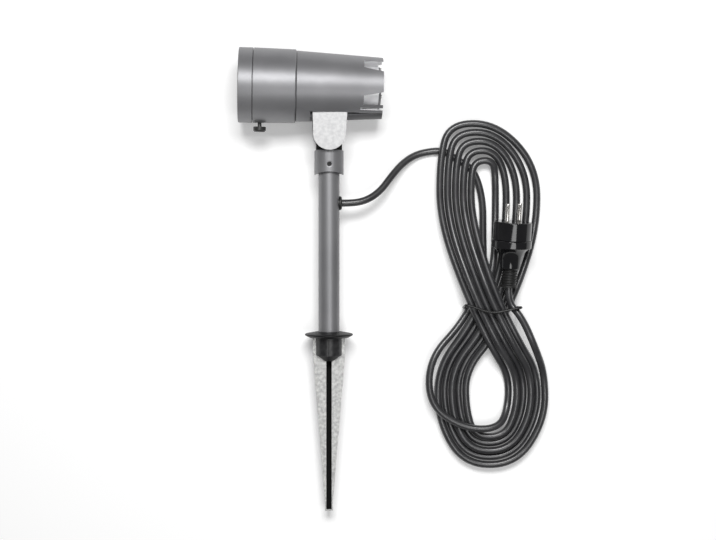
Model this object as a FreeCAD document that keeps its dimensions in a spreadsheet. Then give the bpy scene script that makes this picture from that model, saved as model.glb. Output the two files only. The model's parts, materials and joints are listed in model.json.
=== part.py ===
"""Garden spike spotlight lying on its side, with its cord tied in a figure-eight hank.

Lengths are in millimetres. Pieces are drawn in one of three frames and then laid down together:
the lamp frame (stem axis along +Y, ground level at y = 0, the lamp's face side towards +Z),
the head frame (head axis along +X towards the rear, x = 0 above the tilt pivot) and the plug frame.
"""
import FreeCAD, Part
import math
import os
import Sketcher

Vec = FreeCAD.Vector
Place = FreeCAD.Placement
Turn = FreeCAD.Rotation

doc = FreeCAD.newDocument("garden_spotlight")
sheet = doc.addObject("Spreadsheet::Sheet", "Sizes")
sheet_rows = 0
pieces = []


# ---- sizes: a number together with the sheet formula that gives it ----

class Size:
    """A length that knows its value and the formula that the sheet holds for it."""

    def __init__(self, number, formula):
        self.number = number
        self.formula = formula

    def join(self, other, sign, number):
        return Size(number, "(%s %s %s)" % (self.formula, sign, as_size(other).formula))

    def __add__(self, other):
        return self.join(other, "+", self.number + as_size(other).number)

    def __sub__(self, other):
        return self.join(other, "-", self.number - as_size(other).number)

    def __mul__(self, other):
        return self.join(other, "*", self.number * as_size(other).number)

    def __truediv__(self, other):
        return self.join(other, "/", self.number / as_size(other).number)

    def __neg__(self):
        return Size(-self.number, "(-1 * %s)" % self.formula)


def as_size(value):
    return value if isinstance(value, Size) else Size(float(value), "%.9g" % value)


def size(name, number, note):
    """Write one driving dimension to the sheet and return it."""
    global sheet_rows
    sheet_rows += 1
    sheet.set("A%d" % sheet_rows, note)
    sheet.set("B%d" % sheet_rows, "%.9g" % number)
    sheet.setAlias("B%d" % sheet_rows, name)
    return Size(float(number), "Sizes." + name)


ZERO = as_size(0)


# ---- drawing helpers ----

def new_body(label):
    body = doc.addObject("PartDesign::Body", label)
    body.Label = label
    body.AllowCompound = True
    return body


def origin_feature(body, role):
    return [feature for feature in body.Origin.OriginFeatures if feature.Role == role][0]


def new_sketch(body, plane="XY", raised=0):
    """A sketch on one of the body's own planes, raised along the plane's normal."""
    drawing = body.newObject("Sketcher::SketchObject", body.Label + "_sketch")
    drawing.AttachmentSupport = [(origin_feature(body, plane + "_Plane"), "")]
    drawing.MapMode = "FlatFace"
    if raised != 0:
        drawing.setExpression("AttachmentOffset.Base.z", as_size(raised).formula)
    return drawing


def tie_point(drawing, geometry, corner, x, y):
    """Bind one sketch point to its two sizes."""
    for kind, value in (("DistanceX", x), ("DistanceY", y)):
        index = drawing.addConstraint(Sketcher.Constraint(kind, geometry, corner, value.number))
        drawing.setExpression("Constraints[%d]" % index, value.formula)


def draw_outline(drawing, points):
    """Closed outline of straight edges through points given as pairs of sizes."""
    first = drawing.GeometryCount
    corners = [(as_size(x), as_size(y)) for x, y in points]
    count = len(corners)
    for i, (x, y) in enumerate(corners):
        next_x, next_y = corners[(i + 1) % count]
        end = Vec(next_x.number, next_y.number, 0)
        drawing.addGeometry(Part.LineSegment(Vec(x.number, y.number, 0), end))
    for i in range(count):
        drawing.addConstraint(Sketcher.Constraint("Coincident", first + i, 2, first + (i + 1) % count, 1))
    for i, (x, y) in enumerate(corners):
        tie_point(drawing, first + i, 1, x, y)


def draw_box(drawing, low_x, high_x, low_y, high_y):
    draw_outline(drawing, [(low_x, low_y), (high_x, low_y), (high_x, high_y), (low_x, high_y)])


def draw_circle(drawing, x, y, radius):
    x, y, radius = as_size(x), as_size(y), as_size(radius)
    index = drawing.addGeometry(Part.Circle(Vec(x.number, y.number, 0), Vec(0, 0, 1), radius.number))
    tie_point(drawing, index, 3, x, y)
    rule = drawing.addConstraint(Sketcher.Constraint("Radius", index, radius.number))
    drawing.setExpression("Constraints[%d]" % rule, radius.formula)


def turn(body, points, axis="H_Axis", plane="XY"):
    """Turned shape: an outline spun a full turn about a sketch axis."""
    drawing = new_sketch(body, plane)
    draw_outline(drawing, points)
    feature = body.newObject("PartDesign::Revolution", body.Label + "_turn")
    feature.Profile = drawing
    feature.ReferenceAxis = (drawing, [axis])
    feature.Angle = 360
    return feature


def pad(body, drawing, length, both_sides=False, reverse=False):
    feature = body.newObject("PartDesign::Pad", body.Label + "_pad")
    feature.Profile = drawing
    feature.setExpression("Length", as_size(length).formula)
    if both_sides:
        feature.SideType = "Symmetric"
    feature.Reversed = reverse
    return feature


def cut(body, drawing, length, both_sides=False, forward=False):
    """Pocket along the sketch normal when forward, otherwise against it, or to both sides."""
    feature = body.newObject("PartDesign::Pocket", body.Label + "_cut")
    feature.Profile = drawing
    feature.setExpression("Length", as_size(length).formula)
    if both_sides:
        feature.SideType = "Symmetric"
    feature.Reversed = forward
    return feature


def repeat_about(body, features, role, count):
    pattern = body.newObject("PartDesign::PolarPattern", body.Label + "_ring")
    pattern.Originals = features
    pattern.Axis = (origin_feature(body, role), [""])
    pattern.Angle = 360
    pattern.Occurrences = count
    body.Tip = pattern
    return pattern


def keep(body, frame):
    """List a finished piece with the frame that it is drawn in."""
    pieces.append((body, frame))
    return body


# ---- driving dimensions ----

stem_r = size("stem_r", 11.0, "stem radius")
stem_wall = size("stem_wall", 1.5, "stem tube wall")
stem_top = size("stem_top", 189.5, "stem's upper end above ground level")
slide_gap = size("slide_gap", 0.06, "radial clearance of a running fit")

flange_r = size("flange_r", 25.2, "ground flange radius")
flange_hub = size("flange_hub", 6.3, "ground flange thickness at the stem")
flange_edge = size("flange_edge", 1.6, "ground flange thickness at the rim")
flange_edge_low = size("flange_edge_low", 2.3, "underside of the rim above ground level")
flange_slope = size("flange_slope", 4.6, "sloping part of the flange's underside")
flange_recess_gap = size("flange_recess_gap", 0.5, "recess of the flange round the spike's blades")
socket_r = size("socket_r", 13.4, "spike socket radius")
socket_seat = size("socket_seat", 1.0, "socket's shoulder above ground level, in the flange's recess")
socket_depth = size("socket_depth", 18.5, "round part of the socket below ground level")
socket_cone = size("socket_cone", 6.2, "conical end of the socket")
socket_tip_r = size("socket_tip_r", 4.4, "radius of the cone's blunt tip")
spigot_reach = size("spigot_reach", 30.0, "socket spigot inside the stem, above ground level")
spigot_wall = size("spigot_wall", 3.4, "spigot wall")

spike_reach = size("spike_reach", 182.8, "spike tip below ground level")
spike_top_half = size("spike_top_half", 17.0, "half width of the spike beside the socket")
spike_shoulder = size("spike_shoulder", 17.0, "depth at which the blades begin to taper")
spike_tip_length = size("spike_tip_length", 8.0, "straight blunt end of the spike")
sheet_t = size("sheet_t", 1.3, "spike sheet thickness")
channel_half = size("channel_half", 2.75, "half the inner width of the spike's channel")
channel_deep = size("channel_deep", 12.0, "channel depth under the flange")
channel_shallow = size("channel_shallow", 4.6, "channel depth at the tip")
slot_gap = size("slot_gap", 0.1, "play of the spike sheet in its socket")

grommet_height = size("grommet_height", 140.8, "cord outlet above ground level")
grommet_neck_r = size("grommet_neck_r", 5.9, "grommet neck radius")
grommet_lip_r = size("grommet_lip_r", 7.2, "grommet lip radius")
grommet_lip = size("grommet_lip", 2.5, "grommet lip thickness")
cord_r = size("cord_r", 3.8, "cord radius")
core_bundle_r = size("core_bundle_r", 3.0, "radius of the cord's cores inside the joint")

collar_r = size("collar_r", 15.3, "collar radius")
collar_overlap = size("collar_overlap", 19.3, "collar's reach below the stem's upper end")
collar_rise = size("collar_rise", 6.1, "collar's shoulder above the stem's upper end")
collar_arch = size("collar_arch", 3.3, "rise of the arched lower edge")
bush_wall = size("bush_wall", 1.0, "swivel bush wall")
passage_r = size("passage_r", 8.0, "bore above the stem's end")
passage_back = size("passage_back", 8.9, "cable passage behind the pivot bolt")
passage_gap = size("passage_gap", 0.6, "play of the cores in the cable passage")
grub_drop = size("grub_drop", 8.3, "grub screw below the stem's upper end")
grub_r = size("grub_r", 2.5, "grub screw radius")
grub_length = size("grub_length", 2.2, "grub screw length")
grub_sink_r = size("grub_sink_r", 3.4, "countersink round the grub screw")
pivot_rise = size("pivot_rise", 16.9, "tilt pivot above the collar's shoulder")
tongue_r = size("tongue_r", 13.4, "round top of the knuckle's tongue")
tongue_half = size("tongue_half", 14.9, "half thickness of the tongue")
washer_t = size("washer_t", 0.7, "friction washer thickness")
washer_r = size("washer_r", 9.0, "friction washer radius")
pivot_bush_r = size("pivot_bush_r", 4.6, "pivot bush outer radius")
bolt_r = size("bolt_r", 3.0, "pivot bolt radius")
bolt_head_r = size("bolt_head_r", 5.2, "pivot bolt head radius")
bolt_head_t = size("bolt_head_t", 3.0, "pivot bolt head height")
ear_t = size("ear_t", 5.2, "fork ear thickness")
ear_foot_r = size("ear_foot_r", 16.8, "round lower end of an ear")
ear_top_half = size("ear_top_half", 17.9, "half width of an ear under the housing")
ear_screw_r = size("ear_screw_r", 1.5, "ear screw radius")
ear_screw_apart = size("ear_screw_apart", 22.0, "distance between the ear screws")
ear_screw_drop = size("ear_screw_drop", 2.8, "ear screws below the notch's ceiling")
ear_screw_head_r = size("ear_screw_head_r", 2.475, "ear screw head radius")
ear_screw_head_t = size("ear_screw_head_t", 2.2, "ear screw head height")
blind_skin = size("blind_skin", 1.2, "metal left over the blind holes of the front ear")

head_rise = size("head_rise", 49.1, "head axis above the tilt pivot")
rear_reach = size("rear_reach", 54.4, "rear end behind the pivot")
housing_length = size("housing_length", 89.1, "visible length of the housing")
sleeve_length = size("sleeve_length", 44.8, "sleeve length")
ring_length = size("ring_length", 14.7, "visible length of the front ring")
ring_gap = size("ring_gap", 0.8, "groove between front ring and sleeve")
front_r = size("front_r", 39.0, "front ring and sleeve radius")
sleeve_rear_r = size("sleeve_rear_r", 38.1, "sleeve radius at its rear edge")
housing_front_r = size("housing_front_r", 36.9, "housing radius behind the sleeve")
housing_rear_r = size("housing_rear_r", 31.8, "housing radius at the rear")
shell_wall = size("shell_wall", 3.0, "housing wall")
spigot_length = size("spigot_length", 11.0, "housing spigot inside the sleeve")
spigot_r = size("spigot_r", 34.9, "housing spigot radius")
spigot_bore_r = size("spigot_bore_r", 32.6, "housing spigot bore")
edge_bevel = size("edge_bevel", 1.0, "bevel on turned edges")
seal_t = size("seal_t", 0.6, "flat seal between sleeve and housing")
skirt_length = size("skirt_length", 17.0, "front ring's skirt inside the sleeve")
skirt_wall = size("skirt_wall", 2.0, "skirt wall")
sleeve_front_wall = size("sleeve_front_wall", 3.0, "sleeve wall round the skirt")
seat_lip = size("seat_lip", 3.4, "inward reach of the glass seat")
seat_t = size("seat_t", 3.0, "thickness of the glass seat")
seat_gap = size("seat_gap", 2.5, "gap between the pushed in ring and the glass seat")
glass_t = size("glass_t", 4.0, "front glass thickness")
gasket_t = size("gasket_t", 0.7, "glass gasket thickness")
retainer_t = size("retainer_t", 1.8, "glass retainer thickness")

bulkhead_x = size("bulkhead_x", 30.5, "bulkhead's front face behind the pivot")
bulkhead_t = size("bulkhead_t", 3.0, "bulkhead thickness")
core_r = size("core_r", 21.7, "radius of the core between the fins")
core_wall = size("core_wall", 3.2, "core wall")
core_end_x = size("core_end_x", 50.0, "rear end of the core")
web_t = size("web_t", 3.0, "thickness of the webs that carry the fins")
slot_x = size("slot_x", 34.2, "front end of the cooling slots")
top_slot_high = size("top_slot_high", 26.0, "upper edge of the upper slot")
fin_top_front = size("fin_top_front", 19.0, "upper edge of the side fin at its root")
fin_top_rear = size("fin_top_rear", 14.4, "upper edge of the side fin at the rear")
fin_low_front = size("fin_low_front", 10.4, "lower edge of the side fin at its root, below the axis")
fin_low_rear = size("fin_low_rear", 5.9, "lower edge of the side fin at the rear, below the axis")
low_slot_low = size("low_slot_low", 19.3, "lower edge of the lower slot, below the axis")
thin_slot_x = size("thin_slot_x", 31.0, "front end of the thin slot")
thin_slot_high = size("thin_slot_high", 22.2, "upper edge of the thin slot, below the axis")
thin_slot_low = size("thin_slot_low", 24.4, "lower edge of the thin slot, below the axis")
notch_x = size("notch_x", 20.5, "front wall of the notch, ahead of the pivot")
notch_drop = size("notch_drop", 27.0, "ceiling of the notch, below the axis")
floor_r = size("floor_r", 27.5, "inner radius of the thick floor over the notch")
keel_half = size("keel_half", 15.7, "half width of the keel between the ears")

lamp_gap = size("lamp_gap", 1.2, "gap between the glass pack and the lamp's face")
lamp_face_r = size("lamp_face_r", 32.0, "reflector lamp radius")
lamp_length = size("lamp_length", 59.0, "reflector lamp from its face to its cap")
lamp_wall = size("lamp_wall", 1.6, "reflector lamp's glass wall")
lamp_neck_r = size("lamp_neck_r", 12.8, "reflector lamp neck radius")
lamp_cap_r = size("lamp_cap_r", 13.0, "screw cap radius")
lamp_cap_length = size("lamp_cap_length", 26.5, "screw cap length")
cap_wall = size("cap_wall", 1.0, "screw cap wall")
holder_bore_gap = size("holder_bore_gap", 0.5, "play of the cap in its holder")
holder_r = size("holder_r", 18.3, "lamp holder radius")
holder_mouth = size("holder_mouth", 9.0, "holder's mouth behind the lamp's neck")
holder_back = size("holder_back", 6.5, "holder's rear wall")
holder_flange_r = size("holder_flange_r", 27.3, "lamp holder flange radius")
holder_screw_at = size("holder_screw_at", 24.0, "holder screws from the head axis")
cover_t = size("cover_t", 2.5, "rear cover thickness")
cover_screw_r = size("cover_screw_r", 1.0, "rear cover screw radius")
cover_screw_length = size("cover_screw_length", 8.0, "rear cover screw in the core wall")
terminal_x = size("terminal_x", -4.0, "terminal block's front end")
terminal_long = size("terminal_long", 22.0, "terminal block length")
terminal_wide = size("terminal_wide", 20.0, "terminal block width")
terminal_tall = size("terminal_tall", 7.6, "terminal block height")
terminal_raised = size("terminal_raised", 2.4, "terminal block above the thick floor")
wire_r = size("wire_r", 1.1, "radius of a wire to the lamp holder")
wire_apart = size("wire_apart", 8.0, "distance between the two wires")

screw_x = size("screw_x", 72.5, "thumb screw ahead of the pivot")
thumb_shank_r = size("thumb_shank_r", 2.0, "thumb screw radius")
thumb_r = size("thumb_r", 6.6, "thumb screw head radius")
thumb_neck = size("thumb_neck", 3.0, "bare shank between sleeve and head")
thumb_t = size("thumb_t", 6.6, "thumb screw head height")

collar_low = stem_top - collar_overlap
collar_high = stem_top + collar_rise
grub_height = stem_top - grub_drop
pivot_height = collar_high + pivot_rise

HEAD_TILT = -1.16           # degrees: the head stands with its front end slightly raised

ear_screw_y = -(notch_drop + ear_screw_drop)
rear_x = rear_reach
step_x = rear_x - housing_length
sleeve_front_x = step_x - sleeve_length
ring_back_x = sleeve_front_x - ring_gap
ring_front_x = ring_back_x - ring_length
ring_bore_r = front_r - sleeve_front_wall - slide_gap - skirt_wall
seat_x = sleeve_front_x + skirt_length + seat_gap


# ---- head: housing, sleeve, glass, lamp ----

def housing_wall_r(x):
    """Outer radius of the tapered housing at a place along the axis."""
    share = (as_size(x) - step_x) / housing_length
    return housing_front_r - (housing_front_r - housing_rear_r) * share


def make_housing():
    body = new_body("housing")
    spigot_x = step_x - spigot_length
    turn(body, [
        (spigot_x, spigot_bore_r), (spigot_x, spigot_r), (step_x, spigot_r), (step_x, housing_front_r),
        (rear_x, housing_rear_r), (rear_x, housing_rear_r - shell_wall),
        (step_x + shell_wall, housing_wall_r(step_x + shell_wall) - shell_wall), (step_x, spigot_bore_r)])

    slots = new_sketch(body)
    past_rear = rear_x + shell_wall
    draw_outline(slots, [
        (slot_x, fin_top_front), (past_rear, fin_top_rear),
        (past_rear, top_slot_high), (slot_x, top_slot_high)])
    draw_outline(slots, [
        (slot_x, -low_slot_low), (past_rear, -low_slot_low),
        (past_rear, -fin_low_rear), (slot_x, -fin_low_front)])
    draw_box(slots, thin_slot_x, past_rear, -thin_slot_low, -thin_slot_high)
    cut(body, slots, housing_front_r * 2, both_sides=True)

    core_bore_r = core_r - core_wall
    mid_wall_r = housing_wall_r(bulkhead_x) - shell_wall / 2
    turn(body, [
        (bulkhead_x, core_bore_r), (bulkhead_x, mid_wall_r), (bulkhead_x + bulkhead_t, mid_wall_r),
        (bulkhead_x + bulkhead_t, core_r), (core_end_x, core_r), (core_end_x, core_bore_r)])

    floor = new_sketch(body)
    draw_outline(floor, [
        (-notch_x - shell_wall, -floor_r), (bulkhead_x + bulkhead_t / 2, -floor_r),
        (bulkhead_x + bulkhead_t / 2, shell_wall / 2 - housing_wall_r(bulkhead_x + bulkhead_t / 2)),
        (-notch_x - shell_wall, shell_wall / 2 - housing_wall_r(-notch_x - shell_wall))])
    sector = body.newObject("PartDesign::Revolution", "housing_floor")
    sector.Profile = floor
    sector.ReferenceAxis = (floor, ["H_Axis"])
    sector.Angle = 88
    sector.Midplane = True

    webs = new_sketch(body, "YZ", bulkhead_x + bulkhead_t / 2)
    web_in = core_r - core_wall / 2
    web_out = housing_rear_r - shell_wall / 2
    web_mid = (fin_top_rear - fin_low_rear) / 2
    draw_box(webs, web_in, web_out, -web_t / 2, web_t / 2)
    draw_box(webs, -web_out, -web_in, -web_t / 2, web_t / 2)
    draw_box(webs, web_mid - web_t / 2, web_mid + web_t / 2, web_in, web_out - web_t / 2)
    draw_box(webs, web_mid - web_t / 2, web_mid + web_t / 2, web_t / 2 - web_out, -web_in)
    pad(body, webs, core_end_x - bulkhead_x - bulkhead_t / 2)

    notch = new_sketch(body, "YZ", -notch_x)
    reach = housing_front_r + shell_wall
    draw_box(notch, -reach, -notch_drop, keel_half, reach)
    draw_box(notch, -reach, -notch_drop, -reach, -keel_half)
    cut(body, notch, notch_x + past_rear, forward=True)

    lead_hole = new_sketch(body, "XZ", floor_r - shell_wall)
    draw_circle(lead_hole, 0, 0, core_bundle_r + 1)
    cut(body, lead_hole, housing_front_r, forward=True)

    screw_holes = new_sketch(body)
    for side in (-1, 1):
        draw_circle(screw_holes, ear_screw_apart * side / 2, ear_screw_y, ear_screw_r + slot_gap)
    cut(body, screw_holes, keel_half * 3, both_sides=True)

    holder_holes = new_sketch(body, "YZ", bulkhead_x - bulkhead_t)
    for side in (-1, 1):
        draw_circle(holder_holes, 0, holder_screw_at * side, ear_screw_r)
    cut(body, holder_holes, bulkhead_t * 3, forward=True)

    cover_holes = new_sketch(body, "YZ", core_end_x)
    draw_circle(cover_holes, core_r - core_wall / 2, 0, cover_screw_r)
    hole = cut(body, cover_holes, cover_screw_length)
    repeat_about(body, [hole], "X_Axis", 3)
    return keep(body, "head")


def make_rear_cover():
    body = new_body("rear_cover")
    core_bore_r = core_r - core_wall
    turn(body, [
        (core_end_x - cover_t, 0), (core_end_x - cover_t, core_bore_r - slot_gap),
        (core_end_x, core_bore_r - slot_gap), (core_end_x, core_r),
        (core_end_x + cover_t - edge_bevel, core_r), (core_end_x + cover_t, core_r - edge_bevel),
        (core_end_x + cover_t, 0)])
    holes = new_sketch(body, "YZ", core_end_x + cover_t)
    draw_circle(holes, core_r - core_wall / 2, 0, cover_screw_r)
    hole = cut(body, holes, cover_t * 2)
    repeat_about(body, [hole], "X_Axis", 3)
    return keep(body, "head")


def make_rear_cover_screws():
    body = new_body("rear_cover_screws")
    shanks = new_sketch(body, "YZ", core_end_x + cover_t)
    draw_circle(shanks, core_r - core_wall / 2, 0, cover_screw_r)
    shank = pad(body, shanks, cover_t + cover_screw_length - slot_gap, reverse=True)
    heads = new_sketch(body, "YZ", core_end_x + cover_t)
    draw_circle(heads, core_r - core_wall / 2, 0, core_wall / 2)
    head = pad(body, heads, edge_bevel)
    repeat_about(body, [shank, head], "X_Axis", 3)
    return keep(body, "head")


def make_sleeve():
    body = new_body("front_sleeve")
    back_x = step_x - seal_t
    bore_r = spigot_r + slot_gap
    turn(body, [
        (sleeve_front_x, front_r - sleeve_front_wall), (sleeve_front_x, front_r),
        (back_x - edge_bevel, sleeve_rear_r), (back_x, sleeve_rear_r - edge_bevel),
        (back_x, bore_r), (seat_x + seat_t, bore_r), (seat_x + seat_t, bore_r - seat_lip),
        (seat_x, bore_r - seat_lip), (seat_x, front_r - sleeve_front_wall)])
    hole = new_sketch(body, "XZ", front_r - sleeve_front_wall - shell_wall)
    draw_circle(hole, -screw_x, 0, thumb_shank_r + slide_gap)
    cut(body, hole, sleeve_front_wall * 3, forward=True)
    return keep(body, "head")


def make_sleeve_seal():
    body = new_body("sleeve_seal")
    turn(body, [
        (step_x - seal_t, spigot_r + slot_gap), (step_x - seal_t, housing_front_r - edge_bevel / 2),
        (step_x, housing_front_r - edge_bevel / 2), (step_x, spigot_r + slot_gap)])
    return keep(body, "head")


def make_glass_pack():
    """Gasket, front glass and retainer, one behind the other on the sleeve's seat."""
    bore_r = spigot_r + slot_gap
    x = seat_x + seat_t
    layers = [
        ("glass_gasket", gasket_t, bore_r - seat_lip + slot_gap * 3, bore_r - slot_gap * 2),
        ("front_glass", glass_t, ZERO, bore_r - slot_gap * 3),
        ("glass_retainer", retainer_t, bore_r - seat_lip + edge_bevel, bore_r)]
    for label, thickness, inner, outer in layers:
        body = new_body(label)
        turn(body, [(x, inner), (x, outer), (x + thickness, outer), (x + thickness, inner)])
        keep(body, "head")
        x = x + thickness
    return x


def make_lamp(face_x):
    """Reflector lamp behind the glass: face, cone, neck and screw cap."""
    glass = new_body("reflector_lamp")
    neck_x = face_x + lamp_length
    outside = [
        (0, 0), (0.01, 0.5), (0.042, 0.875), (0.093, 0.975), (0.161, 1), (0.212, 0.984), (0.364, 0.875),
        (0.602, 0.656), (0.839, 0.469)]
    inside = [
        (0.831, 0.469), (0.585, 0.656), (0.356, 0.875), (0.203, 0.984), (0.161, 1), (0.11, 0.975),
        (0.071, 0.875), (0.041, 0.5)]
    points = [(face_x + lamp_length * along, lamp_face_r * out) for along, out in outside]
    points += [(neck_x, lamp_neck_r), (neck_x, lamp_neck_r - lamp_wall)]
    points += [(face_x + lamp_length * along, lamp_face_r * out - lamp_wall) for along, out in inside]
    points.append((face_x + lamp_wall, 0))
    turn(glass, points)
    keep(glass, "head")
    cap = new_body("lamp_cap")
    cap_x = neck_x + lamp_cap_length
    contact_r = lamp_cap_r * 0.38
    turn(cap, [
        (neck_x, lamp_cap_r - cap_wall), (neck_x, lamp_cap_r), (cap_x - lamp_cap_length * 0.2, lamp_cap_r),
        (cap_x - lamp_cap_length * 0.07, lamp_cap_r * 0.7), (cap_x, contact_r), (cap_x, 0),
        (cap_x - cap_wall, 0), (cap_x - cap_wall, contact_r - cap_wall),
        (cap_x - lamp_cap_length * 0.07 - cap_wall, lamp_cap_r * 0.7 - cap_wall),
        (cap_x - lamp_cap_length * 0.2 - cap_wall, lamp_cap_r - cap_wall)])
    keep(cap, "head")
    return neck_x


def make_holder(neck_x):
    """Ceramic holder with a flange that two screws hold to the bulkhead's front face."""
    body = new_body("lamp_holder")
    bore_r = lamp_cap_r + holder_bore_gap
    mouth_x = neck_x + holder_mouth
    well_x = neck_x + lamp_cap_length
    turn(body, [
        (mouth_x, bore_r), (mouth_x, holder_r), (bulkhead_x - bulkhead_t, holder_r),
        (bulkhead_x - bulkhead_t, holder_flange_r), (bulkhead_x, holder_flange_r), (bulkhead_x, holder_r),
        (well_x + holder_back, holder_r), (well_x + holder_back, 0), (well_x, 0), (well_x, bore_r)])
    holes = new_sketch(body, "YZ", bulkhead_x - bulkhead_t * 2)
    for side in (-1, 1):
        draw_circle(holes, 0, holder_screw_at * side, ear_screw_r)
    cut(body, holes, bulkhead_t * 3, forward=True)
    keep(body, "head")

    screws = new_body("holder_screws")
    shanks = new_sketch(screws, "YZ", bulkhead_x - bulkhead_t)
    heads = new_sketch(screws, "YZ", bulkhead_x - bulkhead_t)
    for side in (-1, 1):
        draw_circle(shanks, 0, holder_screw_at * side, ear_screw_r)
        draw_circle(heads, 0, holder_screw_at * side, ear_screw_r * 1.8)
    pad(screws, shanks, bulkhead_t * 2 - slot_gap)
    pad(screws, heads, ear_screw_r, reverse=True)
    return keep(screws, "head")


def make_wiring():
    """Terminal block on the thick floor, with the lead from below and two wires to the holder."""
    block_low = terminal_raised - floor_r
    block_high = block_low + terminal_tall
    block = new_body("terminal_block")
    side_view = new_sketch(block)
    draw_box(side_view, terminal_x, terminal_x + terminal_long, block_low, block_high)
    pad(block, side_view, terminal_wide, both_sides=True)
    keep(block, "head")

    wires = new_body("holder_wires")
    wire_ends = new_sketch(wires, "YZ", terminal_x + terminal_long)
    for side in (-1, 1):
        draw_circle(wire_ends, block_low + terminal_tall / 2, wire_apart * side / 2, wire_r)
    pad(wires, wire_ends, bulkhead_x - bulkhead_t - terminal_x - terminal_long)
    keep(wires, "head")

    lead = new_body("head_lead")
    lead_end = new_sketch(lead, "XZ", -block_low)
    draw_circle(lead_end, 0, 0, core_bundle_r)
    pad(lead, lead_end, head_rise - tongue_r + block_low - edge_bevel * 1.5)
    keep(lead, "head")

    gland = new_body("head_gland")
    gland_end = new_sketch(gland, "XZ", floor_r + slot_gap * 2)
    draw_circle(gland_end, 0, 0, core_bundle_r + 1)
    draw_circle(gland_end, 0, 0, core_bundle_r)
    pad(gland, gland_end, shell_wall + terminal_raised)
    return keep(gland, "head")


def make_ears():
    """The two flat ears of the fork, outside the keel; only the rear one shows its screws."""
    for label, side in (("ear_front", 1), ("ear_rear", -1)):
        body = new_body(label)
        low = keel_half if side > 0 else -(keel_half + ear_t)
        foot = new_sketch(body, "XY", low)
        draw_circle(foot, 0, -head_rise, ear_foot_r)
        pad(body, foot, ear_t)
        plate = new_sketch(body, "XY", low)
        waist_y = -head_rise + ear_foot_r * 0.06
        draw_outline(plate, [
            (-ear_foot_r, waist_y), (ear_foot_r, waist_y),
            (ear_top_half, -notch_drop), (-ear_top_half, -notch_drop)])
        pad(body, plate, ear_t)
        holes = new_sketch(body, "XY", keel_half if side > 0 else -keel_half)
        draw_circle(holes, 0, -head_rise, bolt_r)
        for turn_side in (-1, 1):
            draw_circle(holes, ear_screw_apart * turn_side / 2, ear_screw_y, ear_screw_r)
        depth = ear_t - blind_skin if side > 0 else ear_t
        cut(body, holes, depth, forward=side > 0)
        if side < 0:
            sinks = new_sketch(body, "XY", -(keel_half + ear_t))
            draw_circle(sinks, 0, -head_rise, bolt_head_r + slot_gap)
            cut(body, sinks, bolt_head_t, forward=True)
            screw_sinks = new_sketch(body, "XY", -(keel_half + ear_t))
            sink_r = ear_screw_head_r + slot_gap
            for turn_side in (-1, 1):
                draw_circle(screw_sinks, ear_screw_apart * turn_side / 2, ear_screw_y, sink_r)
            cut(body, screw_sinks, ear_screw_head_t, forward=True)
        keep(body, "head")


def make_ear_screws():
    body = new_body("ear_screws")
    back = -(keel_half + ear_t)
    heads = new_sketch(body, "XY", back)
    shanks = new_sketch(body, "XY", back + ear_screw_head_t)
    sockets = new_sketch(body, "XY", back)
    for side in (-1, 1):
        draw_circle(heads, ear_screw_apart * side / 2, ear_screw_y, ear_screw_head_r)
        draw_circle(shanks, ear_screw_apart * side / 2, ear_screw_y, ear_screw_r)
        draw_circle(sockets, ear_screw_apart * side / 2, ear_screw_y, ear_screw_r * 0.8)
    pad(body, heads, ear_screw_head_t)
    pad(body, shanks, keel_half * 2 + ear_t * 2 - ear_screw_head_t - blind_skin)
    cut(body, sockets, ear_screw_head_t * 0.6, forward=True)
    return keep(body, "head")


def make_pivot_bolt():
    body = new_body("pivot_bolt")
    back = -(keel_half + ear_t)
    head = new_sketch(body, "XY", back)
    draw_circle(head, 0, -head_rise, bolt_head_r)
    pad(body, head, bolt_head_t)
    shank = new_sketch(body, "XY", back + bolt_head_t)
    draw_circle(shank, 0, -head_rise, bolt_r)
    pad(body, shank, keel_half * 2 + ear_t * 2 - bolt_head_t - blind_skin)
    hex_hole = new_sketch(body, "XY", back)
    side = bolt_r * 0.77
    corners = [(math.cos(math.radians(60 * i)), math.sin(math.radians(60 * i))) for i in range(6)]
    draw_outline(hex_hole, [(side * across, side * up - head_rise) for across, up in corners])
    cut(body, hex_hole, bolt_head_t * 0.6, forward=True)
    return keep(body, "head")


make_housing()
make_rear_cover()
make_rear_cover_screws()
make_sleeve()
make_sleeve_seal()
glass_pack_end = make_glass_pack()
make_holder(make_lamp(glass_pack_end + lamp_gap))
make_wiring()
make_ears()
make_ear_screws()
make_pivot_bolt()


# ---- front ring and thumb screw ----

def make_front_ring():
    body = new_body("front_ring")
    skirt_r = front_r - sleeve_front_wall - slide_gap
    turn(body, [
        (ring_front_x, front_r - edge_bevel * 3), (ring_front_x, front_r - edge_bevel / 2),
        (ring_front_x + edge_bevel / 2, front_r), (ring_back_x, front_r), (ring_back_x, skirt_r),
        (sleeve_front_x + skirt_length, skirt_r), (sleeve_front_x + skirt_length, ring_bore_r),
        (ring_front_x + edge_bevel * 3, ring_bore_r)])
    return keep(body, "head")


def make_thumb_screw():
    """Dished head on a bare shank; the shank's end bears on the ring's skirt."""
    body = new_body("thumb_screw")
    tip = -(front_r - sleeve_front_wall + slide_gap)
    top = -(front_r + thumb_neck)
    dish_y = top - thumb_t * 0.42
    rim_y = top - thumb_t * 0.15
    turn(body, [
        (0, tip), (thumb_shank_r, tip), (thumb_shank_r, top), (thumb_shank_r + 1.0, dish_y),
        (thumb_r - 1.3, dish_y), (thumb_r - 1.0, rim_y), (thumb_r, rim_y), (thumb_r, top - thumb_t * 0.72),
        (thumb_r - 1.2, top - thumb_t * 0.94), (0, top - thumb_t)], axis="V_Axis")
    return keep(body, "thumb")


make_front_ring()
make_thumb_screw()


# ---- knuckle: collar, tongue and what it holds ----

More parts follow.
